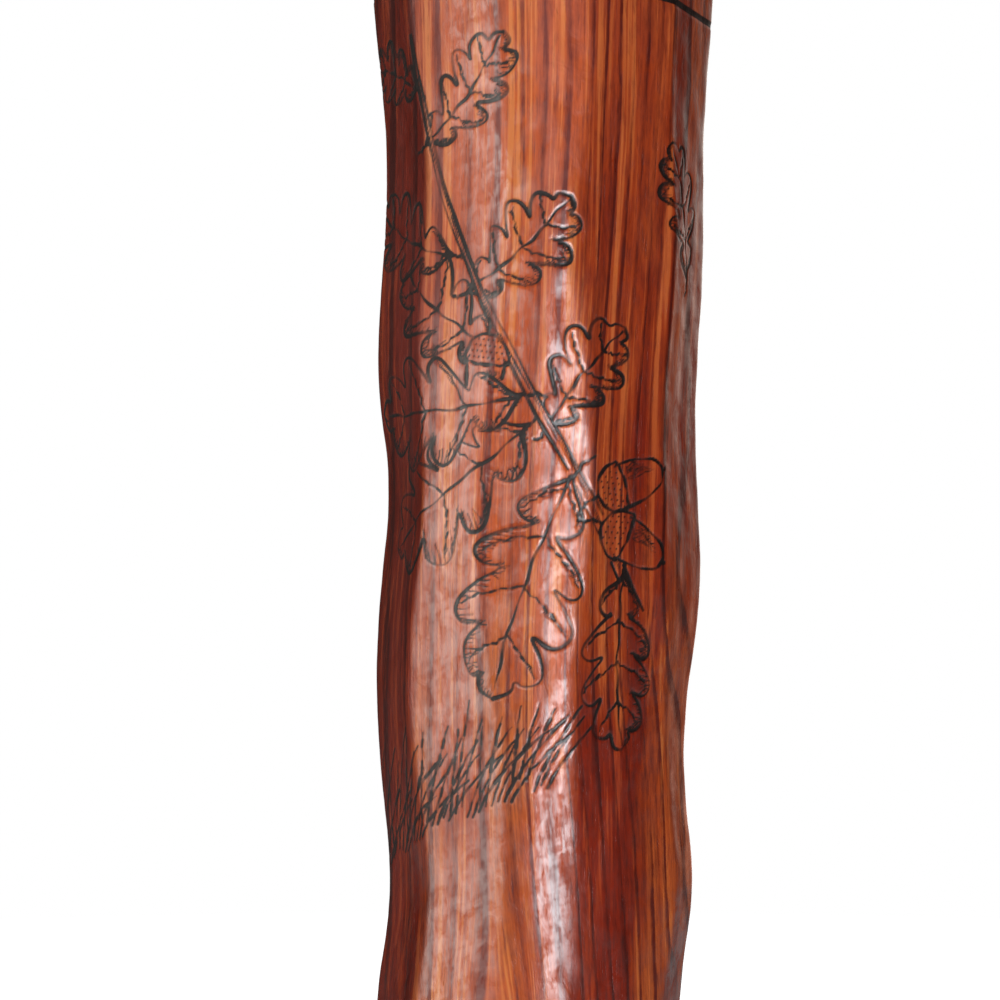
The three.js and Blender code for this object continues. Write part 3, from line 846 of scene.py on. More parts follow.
def makeShaft():
    finer = net["finer"]
    edge = drawing["meanRadius"] * net["windowTurn"]
    half = drawing["meanRadius"] * math.pi
    end = shaft["base"] + shaft["length"]
    left = evenly(-half, -edge, net["wayRound"])[:-1]
    front = evenly(-edge, edge, net["wayRound"])
    right = evenly(edge, half, net["wayRound"])[1:-1]
    below = evenly(shaft["base"], net["windowLow"], net["height"])[:-1]
    window = evenly(net["windowLow"], net["windowHigh"], net["wayRound"])
    above = evenly(net["windowHigh"], end, net["height"])[1:]
    across = np.concatenate([left, front, right])
    coarseHeights = np.concatenate([below, window, above])
    fineAcross = np.linspace(-edge, edge, (len(front) - 1) * finer + 1)
    fineHeights = np.linspace(window[0], window[-1], (len(window) - 1) * finer + 1)
    coarse = shaftSkin(across, coarseHeights)
    fine = shaftSkin(fineAcross, fineHeights)
    rows, columns = coarse["burn"].shape
    fineRows, fineColumns = fine["burn"].shape
    fineIndex = numbered(fineRows, fineColumns)
    low, high = len(below), len(below) + len(window) - 1
    first, last = len(left), len(left) + len(front) - 1

    # The coarse net's points in the window are the fine net's own.
    inWindow = np.zeros((rows, columns), bool)
    inWindow[low:high + 1, first:last + 1] = True
    index = np.full((rows, columns), -1)
    index[inWindow] = fineIndex[::finer, ::finer].reshape(-1)
    index[~inWindow] = fineRows * fineColumns + np.arange((~inWindow).sum())

    # Plain rings below and above the skin make the spigots and their bores.
    rings = [(shaft["pilotRadius"], shaft["pilotTop"]), (shaft["pilotRadius"], base("shaft")),
             (shaft["ferruleSpigot"], base("shaft")), (shaft["ferruleSpigot"], shaft["base"]),
             (shaft["spigotRadius"], end), (shaft["spigotRadius"], top("shaft")),
             (shaft["boreRadius"], top("shaft")), (shaft["boreRadius"], top("shaft") - shaft["boreDepth"])]
    ringPoints = turnedGrid(rings, across / drawing["meanRadius"])
    ringIndex = numbered(len(rings), columns, index.max() + 1)
    ends = np.array([[0, 0, rings[0][1]], [0, 0, rings[-1][1]]])
    footRings = len(net["pathsBelow"])
    whole = np.concatenate([ringIndex[:footRings], index, ringIndex[footRings:]])
    low, high = low + footRings, high + footRings

    # The coarse faces that touch the window take up the fine points along its edges.
    quads = cells(whole)
    kept = np.ones(quads.shape[:2], bool)
    kept[low - 1:high + 1, first:last] = False
    kept[low:high, first - 1:last + 1] = False

    def between(line):
        return np.stack([line[step::finer] for step in range(1, finer)], axis=-1)

    under, over = quads[low - 1, first:last], quads[high, first:last]
    leftward, rightward = quads[low:high, first - 1], quads[low:high, last]
    joins = [
        np.concatenate([under[:, :3], between(fineIndex[0])[:, ::-1], under[:, 3:]], axis=1),
        np.concatenate([over[:, :1], between(fineIndex[-1]), over[:, 1:]], axis=1),
        np.concatenate([leftward[:, :2], between(fineIndex[:, 0]), leftward[:, 2:]], axis=1),
        np.concatenate([rightward, between(fineIndex[:, -1])[:, ::-1]], axis=1),
    ]
    fineQuads = cells(fineIndex)[:, :-1]
    closing = caps(whole, ringIndex.max() + 1, ringIndex.max() + 2)
    hidden = np.concatenate([ringPoints.reshape(-1, 3), ends])
    points = np.concatenate([fine["points"].reshape(-1, 3), coarse["points"][~inWindow], hidden])
    mesh = meshFrom("carved_shaft", points, [quads[kept], fineQuads.reshape(-1, 4), *joins, *closing])
    grain = np.concatenate([fine["grain"].reshape(-1, 3), coarse["grain"][~inWindow], hidden])
    addAttribute(mesh, "grain", "FLOAT_VECTOR", grain)
    for name in ("burn", "stainAndShade", "dull"):
        values = np.concatenate([fine[name].reshape(-1), coarse[name][~inWindow], np.zeros(len(hidden))])
        addAttribute(mesh, name, "FLOAT", values)

    # The end rings lie on the map just below and above the skin.
    ringPaths = np.array([*net["pathsBelow"], *(shaft["length"] + path for path in net["pathsAbove"])])
    spread = np.concatenate([
        gridOf(fineAcross, fineHeights - shaft["base"]).reshape(-1, 2),
        gridOf(across, coarseHeights - shaft["base"])[~inWindow],
        gridOf(across, ringPaths).reshape(-1, 2),
        [[0, ringPaths[0] - 1], [0, ringPaths[-1] + 1]],
    ])
    addBakeMap(mesh, spread, edge, half)
    return mesh


def gridOf(across, up):
    return np.stack(np.broadcast_arrays(across[None, :], up[:, None]), axis=-1)


# Where each stretch of the shaft lies on the map for baking: its low and high end, and the corner and the
# size of its place. The picture has half of the map to itself.
bakePlaces = {
    "picture": (515, 641, 0.004, 0.004, 0.490, 0.992),
    "low": (-13, 252, 0.506, 0.006, 0.240, 0.586),
    "middle": (252, 515, 0.754, 0.006, 0.240, 0.586),
    "high": (641, 809, 0.506, 0.602, 0.240, 0.380),
    "back": (515, 641, 0.754, 0.602, 0.100, 0.280),
}


def addBakeMap(mesh, spread, edge, half):
    # spread holds [way round, way up] of each point, edge is half as wide as the picture's window, and half
    # is half the way round. A face that spans more than that crosses the seam at the back.
    corners = np.zeros(len(mesh.loops), np.int32)
    mesh.loops.foreach_get("vertex_index", corners)
    starts = np.zeros(len(mesh.polygons), np.int32)
    mesh.polygons.foreach_get("loop_start", starts)
    sizes = np.diff(np.append(starts, len(corners)))
    x, up = spread[corners].T.copy()
    split = np.maximum.reduceat(x, starts) - np.minimum.reduceat(x, starts) > half * 1.01
    x[np.repeat(split, sizes) & (x < 0)] += 2 * half
    middleX = np.repeat(np.add.reduceat(x, starts) / sizes, sizes)
    middleUp = np.repeat(np.add.reduceat(up, starts) / sizes, sizes)
    inPicture = np.abs(middleX) < edge
    u, v = np.zeros(len(x)), np.zeros(len(x))
    for name, (low, high, left, bottom, wide, tall) in bakePlaces.items():
        here = (middleUp >= low) & (middleUp < high)
        across, span = x + half, 2 * half
        if name == "picture":
            here, across, span = here & inPicture, x + edge, 2 * edge
        if name == "back":
            here, across = here & ~inPicture, np.where(middleX < 0, x + 2 * half, x) - edge
            span = 2 * (half - edge)
        u[here] = left + wide * across[here] / span
        v[here] = bottom + tall * (up[here] - low) / (high - low)
    bakeMap = mesh.uv_layers.new(name="OFBake")
    bakeMap.uv.foreach_set("vector", np.stack([u, v], axis=-1).astype(np.float32).reshape(-1))
    least, most = min(u.min(), v.min()), max(u.max(), v.max())
    print("bake map from", round(float(least), 4), "to", round(float(most), 4))


# Stained and varnished wood

stainedWood = {
    "ringSpacings": (3.5, 2.2, 1.2),     # near the pith, then beyond each of these distances from it
    "ringChanges": (71.5, 78.5),
    "ringStart": 0.05,
    # The deep colours are deeply stained wood, and they also stand for painted shade on the side facets and
    # in patches.
    "paleEarly": (0.60, 0.100, 0.018, 1),
    "paleLate": (0.19, 0.018, 0.006, 1),
    "paleAmber": (0.74, 0.215, 0.050, 1),
    "deepEarly": (0.24, 0.018, 0.005, 1),
    "deepLate": (0.075, 0.007, 0.004, 1),
    "deepAmber": (0.42, 0.056, 0.014, 1),
    "burnColour": (0.010, 0.005, 0.004, 1),
    "rippleSlope": -0.4,
    "roughness": 0.32,
    "constants": {"IOR": 1.43, "Specular IOR Level": 0.35, "Coat IOR": 1.7, "Coat Roughness": 0.22},
}

# Its patterns: how fast each changes away from the pith, round it and up the stick, with its detail,
# roughness and distortion. The second group also has the values between which it rises from 0 to 1.
woodNoises = {
    "wander": (0.16, 0.05, 0.010, 3),
    "jitter": (0.45, 0.2, 0.035, 2),
    "fibre": (3.2, 2.4, 0.05, 4, 0.62),
    "fleck": (2.6, 2.6, 0.42, 3, 0.6),
    "streak": (0.9, 0.75, 0.014, 3, 0.6),
    "mottle": (0.62, 0.62, 0.40, 2.5, 0.6, 0.6),
    "dapple": (0.15, 0.15, 0.2, 2),
    "blotch": (0.06, 0.06, 0.03, 3, 0.6),
}
woodPatches = {
    "fading": ((0.4, 0.2, 0.028, 2), (0.32, 0.6)),
    "pores": ((5.0, 4.0, 0.30, 2), (0.58, 0.70)),
    "amberPatch": ((0.11, 0.11, 0.02, 3, 0.6), (0.50, 0.68)),
}

# Burned bands, which go plainly round the stick: (height, half its width) for rings, and
# (height, half its rise, half its width, how many) for zigzags
bands = {
    "rings": [(62, 0.55), (65, 0.3), (79, 0.3), (82, 0.55), (812, 0.55), (815, 0.3), (829, 0.3), (832, 0.55),
              (861, 0.4), (863.2, 0.25)],
    "zigzags": [(72, 4.2, 0.32, 12), (822, 4.2, 0.32, 16)],
    "ringEdges": (0.7, 1.4),     # between these shares of half the width, a line fades out
    "zigzagEdges": (1.1, 2.4),
}


def lineMark(distance, half, edges):
    return 1 - distance.size().between(half * edges[0], half * edges[1])


def bandMarks(start):
    spot = start.spot()
    height = spot.part("Z")
    turn = start.math("ARCTAN2", spot.part("X"), spot.part("Y") * -1)
    tilted = start.math("COSINE", turn - ring["towards"]) * ring["tilt"]
    wavering = start.math("SINE", turn * ring["waverTurns"]) * ring["waver"]
    marks = lineMark(height - ring["height"] - tilted - wavering, 1, ring["edges"])
    for middle, half in bands["rings"]:
        marks = marks.larger(lineMark(height - middle, half, bands["ringEdges"]))
    for middle, rise, half, count in bands["zigzags"]:
        tooth = ((turn * (count / fullTurn)).fract() - 0.5).size() * 4 - 1
        marks = marks.larger(lineMark(height - middle - tooth * rise, half, bands["zigzagEdges"]))
    return marks


def makeStainedWood():
    wood = stainedWood
    material, start = newMaterial("stained_wood")
    grain = start.attribute("grain", "Vector")
    burn = start.attribute("burn")
    # Stain, with painted shade on the side facets and in some patches
    stainAndShade = start.attribute("stainAndShade")
    dull = start.attribute("dull")
    wander, jitter, fibre, fleck, streak, mottle, dapple, blotch = [
        grain.pattern(*values) - 0.5 for values in woodNoises.values()]
    fading, pores, amberPatch = [
        grain.pattern(*values).between(*rise) for values, rise in woodPatches.values()]

    # Growth rings darken slowly outwards and end at once.
    away = grain.part("X")
    wide, middling, narrow = wood["ringSpacings"]
    rings = away / wide + (away - wood["ringChanges"][0]).larger(0) * (1 / middling - 1 / wide)
    rings = rings + (away - wood["ringChanges"][1]).larger(0) * (1 / narrow - 1 / middling)
    rings = rings + wood["ringStart"] + wander * 0.6 + jitter * 0.25
    share = rings.fract()
    perRing = rings.floor().dice()
    late = share.between(0.62, 0.88) * (1 - share.between(0.92, 1.0))
    late = late * (0.6 + perRing * 0.6) * (0.4 + fading * 0.6)

    # The knife's ripples slope across the grain.
    sloping = start.make("ShaderNodeCombineXYZ", None, {
        "X": away, "Y": grain.part("Y"), "Z": grain.part("Z") + away * wood["rippleSlope"]})
    ripple = sloping.pattern(0.4, 0.4, 1.4, 2, 0.6) - 0.5

    # Fibres, flecks and pores darken the wood; the depth of stain and painted shade, and the amber patches,
    # tint it.
    late = (0.12 + late * 1.1 + fibre * 1.5 + fleck * 1.5 + streak * 1.4 + pores * 0.25).clipped()
    stainAndShadeDepth = (stainAndShade + blotch * 1.1 + streak * 0.9 + mottle * 0.25).clipped()
    amber = (amberPatch * 0.8 + (streak * -1.0 + fibre * -0.5).between(0.03, 0.18) * 0.9).clipped()
    pale = late.tint(amber.tint(wood["paleEarly"], wood["paleAmber"]), wood["paleLate"])
    deep = late.tint(amber.tint(wood["deepEarly"], wood["deepAmber"]), wood["deepLate"])
    colour = stainAndShadeDepth.tint(pale, deep)
    charred = (burn.larger(bandMarks(start)) * (1.0 + 0.9 * mottle)).between(0.1, 0.8)
    colour = charred.tint(colour, wood["burnColour"])

    # The varnish has sunk in unevenly, so its gloss comes and goes.
    gloss = (mottle * 1.8 + ripple * 0.6 + fleck * 1.2 + fibre * 0.5 + dapple + 0.5).between(0.1, 0.9)
    varnish = (gloss * (1.0 - dull * 1.1) * (1.0 - charred * 0.6)).clipped()
    roughness = wood["roughness"] + mottle * 0.2 + fibre * 0.15 + dull * 0.22 + charred * 0.15
    relief = late * -0.3 + fibre * 0.3 + fleck * 0.3 - pores * 0.25 + ripple * 0.15
    normal = dapple.bump(0.3, 1, mottle.bump(0.12, 1, relief.bump(0.04, 1)))
    finishMaterial(start, colour, roughness, normal, {"Coat Weight": varnish, **wood["constants"]})
    return material


# The other finishes

# Each metal's bright and dull colour, and its roughness where it is bright
metals = {
    "brass": ((0.78, 0.53, 0.22, 1), (0.40, 0.23, 0.085, 1), 0.22),
    "steel": ((0.56, 0.57, 0.58, 1), (0.28, 0.28, 0.29, 1), 0.30),
}


def makeMetal(name):
    # Turned metal: fine scratches run round it, and dull patches lie where hands don't rub it.
    material, start = newMaterial(name)
    bright, dull, roughness = metals[name]
    spot = start.spot()
    patch = spot.pattern(0.09, 0.09, 0.13, 4, 0.6).between(0.38, 0.66)
    line = spot.pattern(0.25, 0.25, 9, 3, 0.7) - 0.5
    speck = spot.pattern(1.6, 1.6, 1.6, 2, 0.6).between(0.63, 0.75)
    colour = (patch * 0.75 + speck * 0.35).clipped().tint(bright, dull)
    rough = roughness + patch * 0.14 + line * 0.25 + speck * 0.15
    normal = line.bump(0.02, 0.5)
    finishMaterial(start, colour, rough, normal, {"Metallic": 1.0})
    return material


horn = {
    "black": (0.010, 0.007, 0.006, 1),
    "brown": (0.075, 0.045, 0.027, 1),
    "roughness": 0.22,
    "constants": {"IOR": 1.54},
}


def makeHorn():
    material, start = newMaterial("black_horn")
    spot = start.spot()
    streak = spot.pattern(0.12, 0.5, 0.3, 4, 0.6).between(0.5, 0.78)
    line = spot.pattern(0.5, 2.5, 1.5, 3, 0.6) - 0.5
    colour, rough = streak.tint(horn["black"], horn["brown"]), horn["roughness"] + line * 0.2
    finishMaterial(start, colour, rough, line.bump(0.03, 0.4), horn["constants"])
    return material


rubber = {
    "clean": (0.016, 0.016, 0.017, 1),
    "dusty": (0.095, 0.085, 0.073, 1),
    "scuffHeights": (0.5, 9),
    "roughness": 0.6,
    "constants": {"IOR": 1.5},
}


def makeRubber():
    # Dull moulded rubber with a fine grain, paler with dust and scuffs near the ground
    material, start = newMaterial("foot_rubber")
    spot = start.spot()
    pebble = spot.noise(3, 0.6, 2.2) - 0.5
    patch = spot.noise(3, 0.6, 0.12) - 0.5
    low = 1 - spot.part("Z").between(*rubber["scuffHeights"])
    scuff = low * spot.pattern(0.5, 0.5, 1.6, 4, 0.7).between(0.42, 0.62)
    dust = (scuff * 0.7 + patch * 0.4).clipped()
    colour = dust.tint(rubber["clean"], rubber["dusty"])
    rough = rubber["roughness"] + pebble * 0.3 + scuff * 0.2
    finishMaterial(start, colour, rough, pebble.bump(0.1, 0.6), rubber["constants"])
    return material


# Turned pieces

def turned(name, profile, material, body, node, soften, columns=128, closed=True):
    grid = turnedGrid(softened(profile, soften, closed=closed), evenTurns(columns))
    place(wrapped(grid, name, closed), material, body, node)


def groove(radius, height, deep):
    # A cut with sloping sides, in a profile that runs upwards
    return [[radius, height - deep], [radius - deep, height], [radius, height + deep]]


ferrule = {
    "outer": 12.2,
    "wall": 0.9,
    "rimProud": 0.4,
    "rimHeight": 2,
    "rimSlope": 0.5,
    "grooveDepth": 0.18,
    "grooveHeights": [5.2, 6.4, 33.0, 34.2],
}


def makeFerrule(material):
    low, high = base("ferrule"), top("ferrule")
    outer, inner = ferrule["outer"], ferrule["outer"] - ferrule["wall"]
    rim, rimLow, slope = outer + ferrule["rimProud"], high - ferrule["rimHeight"], ferrule["rimSlope"]
    profile = [[inner, low], [outer, low]]
    for height in ferrule["grooveHeights"]:
        profile += groove(outer, low + height, ferrule["grooveDepth"])
    profile += [[outer, rimLow], [rim, rimLow + slope], [rim, high - slope], [outer, high], [inner, high]]
    turned("brass_ferrule", profile, material, "stick", "ferrule", 0.25)


pin = {
    "shank": 0.9,
    "length": 8,
    "headRadius": 1.9,
    "headHeight": 0.9,
    "outFromAxis": 12.3,
    "below": 6,
    "domeSteps": 8,
    "columns": 40,
}


def makePin(side, name, material):
    # A domed pin that lies along X, with its point in the wood
    dome = [[pin["headRadius"] * math.cos(a), pin["headHeight"] * math.sin(a)]
            for a in np.linspace(0, math.pi / 2, pin["domeSteps"] + 1)[:-1]]
    profile = [[axisRadius, -pin["length"]], [pin["shank"], 2 * pin["shank"] - pin["length"]],
               [pin["shank"], 0], *dome, [axisRadius, pin["headHeight"]]]
    grid = turnedGrid(profile, evenTurns(pin["columns"]))
    height = top("ferrule") - pin["below"]
    lying = np.stack([side * (grid[..., 2] + pin["outFromAxis"]), side * grid[..., 1], height + grid[..., 0]],
                     axis=-1)
    place(wrapped(lying[:, ::-1], name + "_head"), material, "stick", name)


collar = {
    "radius": 19.3,
    "bore": 12.2,
    "beadProud": 0.9,
    "beadHeight": 3.4,
    "beadPoints": 13,
    "grooveDepth": 0.22,
    "grooveUpShares": (0.22, 0.78),
}


def makeCollar(material):
    low, high = base("collar"), top("collar")
    radius, bead = collar["radius"], collar["beadHeight"]

    def beadPoints(start):
        return [[radius + collar["beadProud"] * math.sin(math.pi * share), start + bead * share]
                for share in np.linspace(0, 1, collar["beadPoints"])]

    profile = [[collar["bore"], low], *beadPoints(low)]
    for share in collar["grooveUpShares"]:
        profile += groove(radius, mixed(low + bead, high - bead, share), collar["grooveDepth"])
    profile += [*beadPoints(high - bead), [collar["bore"], high]]
    turned("brass_collar", profile, material, "stick", "collar", 0.12, 160)


spacer = {
    "rim": 19.6,
    "bore": 12.2,
}


def makeSpacer(node, material):
    low, high = base(node), top(node)
    profile = [[spacer["bore"], low], [spacer["rim"], low], [spacer["rim"], high], [spacer["bore"], high]]
    turned(node + "_disc", profile, material, "stick", node, 0.7, 160)


# The knob: soft knife facets that wind a little, over a turned outline

knob = {
    "radius": 25.4,
    "neckRadius": 16.6,
    "baseRadius": 18.9,
    "cutDepth": 0.5,
    "bore": 5.2,
    "crownBore": 11.2,
    "crownBoreDepth": 20.5,
    "neckUpShare": 0.17,
    "widestUpShare": 0.62,
    "crownShare": 0.56,
    "fullness": 1.5,
    "facets": 9,
    "facetsEndUpShares": (0.8, 0.97),
    "twistShare": 0.07,
    "waves": (0.06, 6, 8, 5),            # how deep, high and wide, and the seed
    "stainAndShade": 0.3,
    "stainSteps": 0.2,
    "boreStain": 0.5,
    "columns": 288,
    "rows": 150,
}


def knobOutline(up):
    neck = mixed(knob["baseRadius"], knob["neckRadius"], smooth(up, 0, knob["neckUpShare"]))
    rise = np.clip((up - knob["neckUpShare"]) / (knob["widestUpShare"] - knob["neckUpShare"]), 0, 1)
    swell = mixed(knob["neckRadius"], knob["radius"], np.sin(rise * np.pi / 2) ** knob["fullness"])
    crown = knob["radius"] * knob["crownShare"]
    over = np.clip((up - knob["widestUpShare"]) / (1 - knob["widestUpShare"]), 0, 1)
    dome = crown + (knob["radius"] - crown) * np.sqrt(1 - over * over)
    return np.where(up < knob["neckUpShare"], neck, np.where(up < knob["widestUpShare"], swell, dome))


def makeKnob(material):
    low, high = base("handle_knob"), top("handle_knob")
    turns = evenTurns(knob["columns"])
    turn = turns[None, :]
    up = (np.sin(np.linspace(0, 1, knob["rows"]) * np.pi / 2) ** 1.2)[:, None]
    facet = knob["facets"] * (turn / fullTurn - knob["twistShare"] * up)
    across = 2 * (facet - np.floor(facet)) - 1
    free = smooth(up, 0, knob["neckUpShare"]) * (1 - smooth(up, *knob["facetsEndUpShares"]))
    radius = knobOutline(up) - knob["cutDepth"] * free * (1 - across ** 2)
    z = mixed(low, high, up) + 0 * turn
    x, y = radius * np.sin(turn), radius * np.cos(turn)
    deep, tall, wide, seed = knob["waves"]
    radius = radius - free * deep * (1 + unevenness(seed, (z, tall), (x, wide), (y, wide)))
    crownBore, bore, shelf = knob["crownBore"], knob["bore"], high - knob["crownBoreDepth"]
    rings = turnedGrid([[crownBore, high], [crownBore, shelf], [bore, shelf], [bore, low]], turns)
    grid = np.concatenate([pointsRound(radius, turn, z), rings])
    mesh = wrapped(grid, "carved_knob", closed=True)
    x, y, z = np.moveaxis(grid, -1, 0)
    grain = trunkPlace(np.arctan2(x, -y), np.hypot(x, y), z, "knob")
    stainAndShade = knob["stainAndShade"] + knob["stainSteps"] * (facet % 3 // 1) * free
    addAttribute(mesh, "grain", "FLOAT_VECTOR", grain)
    addAttribute(mesh, "burn", "FLOAT", np.zeros(grid.shape[:2]))
    addAttribute(mesh, "stainAndShade", "FLOAT", np.concatenate([stainAndShade, np.full(rings.shape[:2], knob["boreStain"])]))
    place(mesh, material, "stick", "handle_knob")


button = {
    "skirtRadius": 11.0,
    "skirt": 5,
    "lipRadius": 12.1,
    "lipHeight": 1,
    "shoulderShare": 0.93,       # of the lip's radius
    "shoulderRise": 1.15,
    "domeShare": 0.9,
    "domeHeight": 2.2,
    "domeStart": 0.05,
    "domeSteps": 21,
}


def makeButton(material):
    low, lip = base("crown_button"), button["lipRadius"]
    seat = low + button["skirt"] + seatGap
    dome = seat + button["lipHeight"]
    profile = [[button["skirtRadius"], low], [button["skirtRadius"], seat], [lip, seat], [lip, dome],
               [lip * button["shoulderShare"], seat + button["shoulderRise"]]]
    for a in np.linspace(button["domeStart"], math.pi / 2, button["domeSteps"] + 1)[:-1]:
        profile.append([lip * button["domeShare"] * math.cos(a), dome + button["domeHeight"] * math.sin(a)])
    turned("brass_button", profile, material, "stick", "crown_button", 0.2, closed=False)


# The rubber foot

foot = {
    "socket": 12.5,
    "sole": 9,
    "baseRadius": 20,
    "neckRadius": 15.4,
    "skirtHeight": 8,
    "skirtLean": (0.3, 4.8),             # how far in it leans, and up to where
    "ribProud": 1,
    "ribHeight": 2.6,
    "ribFlatShares": (0.3, 0.7),
    "ribPitch": 5.2,
    "ribCount": 3,
    "treadCentre": 4.5,
    "grooveWidth": 1.8,
    "grooveDepth": 1.5,
    "groovePitch": 4.2,
    "grooveCount": 3,
}


def makeFoot(material):
    high = top("rubber_foot")
    neck, proud = foot["neckRadius"], foot["ribProud"]
    profile = [[foot["treadCentre"], 0]]
    for n in range(foot["grooveCount"]):
        inner = foot["treadCentre"] + n * foot["groovePitch"]
        outer = inner + foot["grooveWidth"]
        profile += [[inner, foot["grooveDepth"]], [outer, foot["grooveDepth"]], [outer, 0]]
        if n + 1 < foot["grooveCount"]:
            profile.append([inner + foot["groovePitch"], 0])
    lean, leanHeight = foot["skirtLean"]
    profile += [[foot["baseRadius"], 0], [foot["baseRadius"] - lean, leanHeight],
                [neck + proud, foot["skirtHeight"]], [neck, foot["skirtHeight"] + proud]]
    for n in reversed(range(foot["ribCount"])):
        low = high - n * foot["ribPitch"] - foot["ribHeight"]
        flats = [[neck + proud, low + foot["ribHeight"] * share] for share in foot["ribFlatShares"]]
        profile += [[neck, low], *flats, [neck, low + foot["ribHeight"]]]
    profile += [[foot["socket"], high], [foot["socket"], foot["sole"]], [axisRadius, foot["sole"]]]
    turned("moulded_foot", profile, material, "foot", "rubber_foot", 0.5, 144, closed=False)


# Camera, lamps, floor and world

view = {
    "lens": 100,
    "sensor": 36,
    "scale": 0.112,
    "height": 640,
    "axisPixel": 547.9,      # where the stick's axis crosses the photo's frame, and that frame's width
    "frameWidth": 1000,
    "nearest": 0.01,
}


def makeCamera():
    data = bpy.data.cameras.new("camera")
    data.lens = view["lens"]
    data.sensor_width = view["sensor"]
    data.clip_start = view["nearest"]
    camera = linked("camera", data)
    distance = view["scale"] * view["frameWidth"] * view["lens"] / view["sensor"]
    aside = (view["frameWidth"] / 2 - view["axisPixel"]) * view["scale"]
    camera.location = Vector((aside, -distance, view["height"])) * mm
    camera.rotation_euler = (math.radians(90), 0, 0)
    bpy.context.scene.camera = camera


# Each lamp: azimuth (0 before the stick at -Y, 90 at its right at +X), height of its middle, distance,
# width and height in metres, radiance, colour, and which light it gives. The softboxes light the wood. The
# windows show only as gloss, as the panes of a window do on varnish.
white, warmWhite, coolWhite = (1, 1, 1), (1, 0.97, 0.90), (0.92, 0.96, 1)
lamps = {
    "front_softbox": (4, 0.85, 1.1, 0.30, 1.2, 9.2, white, "diffuse"),
    "back_softbox": (180, 0.90, 1.2, 0.60, 1.2, 3.1, white, "both"),
    "left_window": (-61, 0.60, 0.9, 0.55, 1.5, 2.3, warmWhite, "glossy"),
    "left_pane_high": (-61, 0.86, 0.9, 0.50, 0.14, 6.0, warmWhite, "glossy"),
    "left_pane_middle": (-61, 0.62, 0.9, 0.50, 0.16, 10.5, warmWhite, "glossy"),
    "left_pane_low": (-61, 0.44, 0.9, 0.50, 0.12, 6.0, warmWhite, "glossy"),
    "front_window": (17, 0.24, 1.0, 0.16, 0.9, 3.5, coolWhite, "glossy"),
    "front_pane_high": (-18, 0.74, 1.0, 0.30, 0.12, 5.5, warmWhite, "glossy"),
    "front_pane_middle": (17, 0.60, 1.0, 0.25, 0.18, 13.0, coolWhite, "glossy"),
    "front_pane_low": (18, 0.42, 1.0, 0.34, 0.13, 11.5, coolWhite, "glossy"),
}


def makeLamps():
    for name, (azimuth, rise, distance, width, height, radiance, colour, gives) in lamps.items():
        data = bpy.data.lights.new(name, "AREA")
        data.shape = "RECTANGLE"
        data.size, data.size_y = width, height
        data.energy = radiance * math.pi * width * height
        data.color = colour
        lamp = linked(name, data)
        lamp.visible_diffuse = gives != "glossy"
        lamp.visible_glossy = gives != "diffuse"
        a = math.radians(azimuth)
        out = Vector((math.sin(a), -math.cos(a), 0))
        lamp.location = out * distance + Vector((0, 0, rise))
        lamp.rotation_euler = out.to_track_quat("Z", "Y").to_euler()


studio = {
    "fill": 0.22,
    "frontGlow": 0.02,
    "backGlowLeft": 0.03,
    "backGlowRight": 1.0,
    "backGlowLow": 0.9,
    "glowColour": (1, 0.87, 0.78, 1),
    "lowGlowColour": (1, 0.35, 0.2, 1),
    "behindFade": (0.62, 0.95),          # along each direction, where the glow rises from none to all
    "rightFade": (-0.1, 0.1),
    "highFade": (-0.15, 0.12),
    "floorRadius": 4000,
    "floorCorners": 96,
    "floorGlow": 0.55,
    "floorFade": (250, 1400),
    "floorForEye": (0.9, 0.9, 0.9, 1),
    "floorForLight": (0.12, 0.12, 0.12, 1),
}


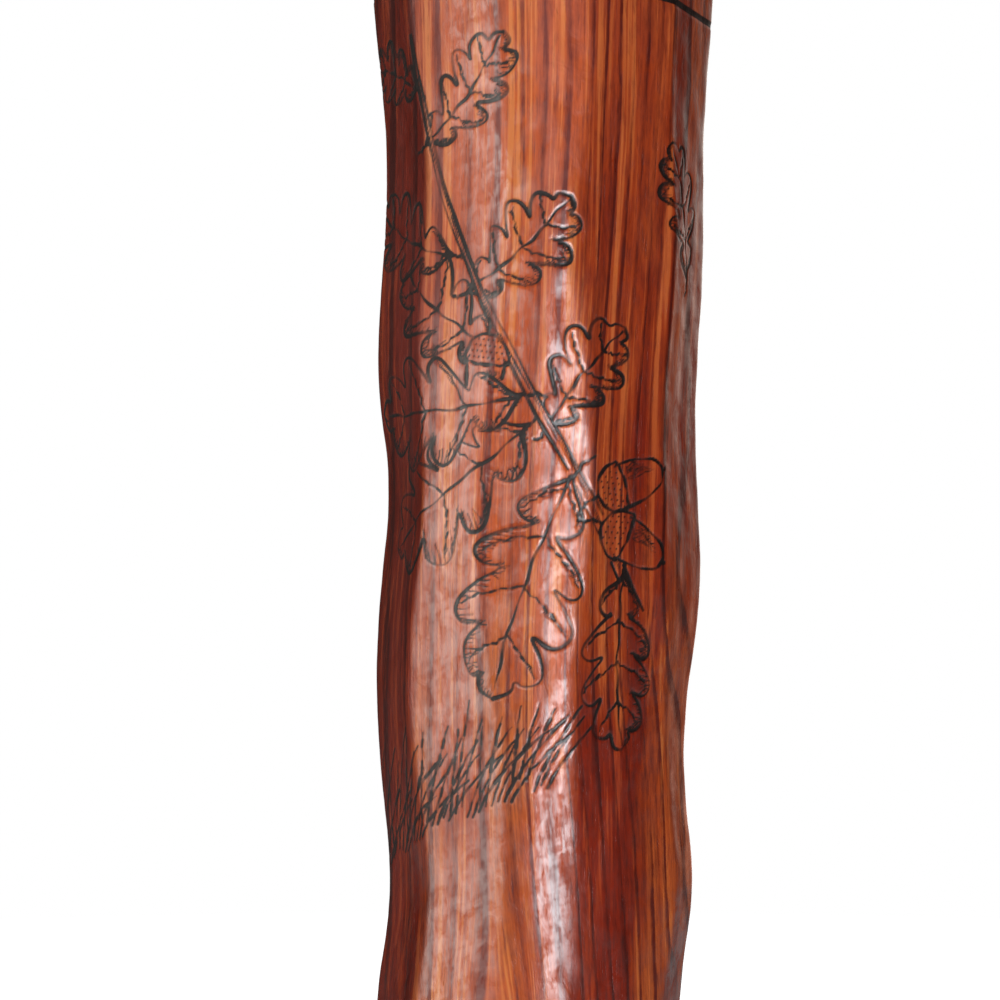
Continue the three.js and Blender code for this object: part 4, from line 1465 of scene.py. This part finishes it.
def makeWorld():
    world = bpy.data.worlds.new("studio")
    bpy.context.scene.world = world
    world.use_nodes = True
    world.node_tree.nodes.clear()
    start = Shade(world.node_tree)
    camera, glossy, through = start.ray("Camera"), start.ray("Glossy"), start.ray("Transmission")
    direction = start.make("ShaderNodeTexCoord", output="Generated")
    behind = direction.part("Y").between(*studio["behindFade"])
    right = direction.part("X").between(*studio["rightFade"])
    high = direction.part("Z").between(*studio["highFade"])
    rightGlow = studio["backGlowLow"] + high * (studio["backGlowRight"] - studio["backGlowLow"])
    backGlow = studio["backGlowLeft"] + right * rightGlow
    glow = studio["frontGlow"] + behind * backGlow
    mirrored = (glossy + through).clipped()
    strength = camera.larger(mirrored * glow + (1 - mirrored) * studio["fill"])
    colour = mirrored.tint((1, 1, 1, 1), high.tint(studio["lowGlowColour"], studio["glowColour"]))
    light = start.make("ShaderNodeBackground", None, {"Color": colour, "Strength": strength})
    start.make("ShaderNodeOutputWorld", None, {0: light})


def makeFloor():
    corners = studio["floorCorners"]
    edge = pointsRound(studio["floorRadius"], evenTurns(corners), 0)
    mesh = meshFrom("floor", edge, [numbered(1, corners)])
    floor = linked("floor", mesh)
    material, start = newMaterial("floor")
    away = start.make("ShaderNodeVectorMath", {"operation": "LENGTH"}, {0: start.spot()}, "Value")
    camera, glossy = start.ray("Camera"), start.ray("Glossy")
    colour = (camera + glossy).clipped().tint(studio["floorForLight"], studio["floorForEye"])
    plain = start.make("ShaderNodeBsdfDiffuse", None, {"Color": colour})
    glow = camera * (studio["floorGlow"] + away.between(*studio["floorFade"]) * (1 - studio["floorGlow"]))
    glowing = start.make("ShaderNodeEmission", None, {"Color": (1, 1, 1, 1), "Strength": glow})
    both = start.make("ShaderNodeAddShader", None, {0: plain, 1: glowing})
    start.make("ShaderNodeOutputMaterial", None, {0: both})
    mesh.materials.append(material)


bpy.context.scene.view_settings.view_transform = "Standard"
makeCamera()
makeLamps()
makeWorld()
makeFloor()
print("studio ready")

drawPicture()
woodMaterial = makeStainedWood()
place(makeShaft(), woodMaterial, "stick", "shaft")
print("shaft carved and burned")

brassMaterial = makeMetal("brass")
steelMaterial = makeMetal("steel")
hornMaterial = makeHorn()
rubberMaterial = makeRubber()
makeKnob(woodMaterial)
makeButton(brassMaterial)
makeSpacer("upper_spacer", hornMaterial)
makeCollar(brassMaterial)
makeSpacer("lower_spacer", hornMaterial)
makeFerrule(brassMaterial)
makePin(1, "ferrule_pin_right", brassMaterial)
makePin(-1, "ferrule_pin_left", brassMaterial)
makeFoot(rubberMaterial)
for node in ("foot_washer", "tip_plate", "tip_screw", "hanger_bolt", "bolt_washer", "handle_nut"):
    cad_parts[node].material_slots[0].material = steelMaterial
print("handle, ferrule and foot fitted")
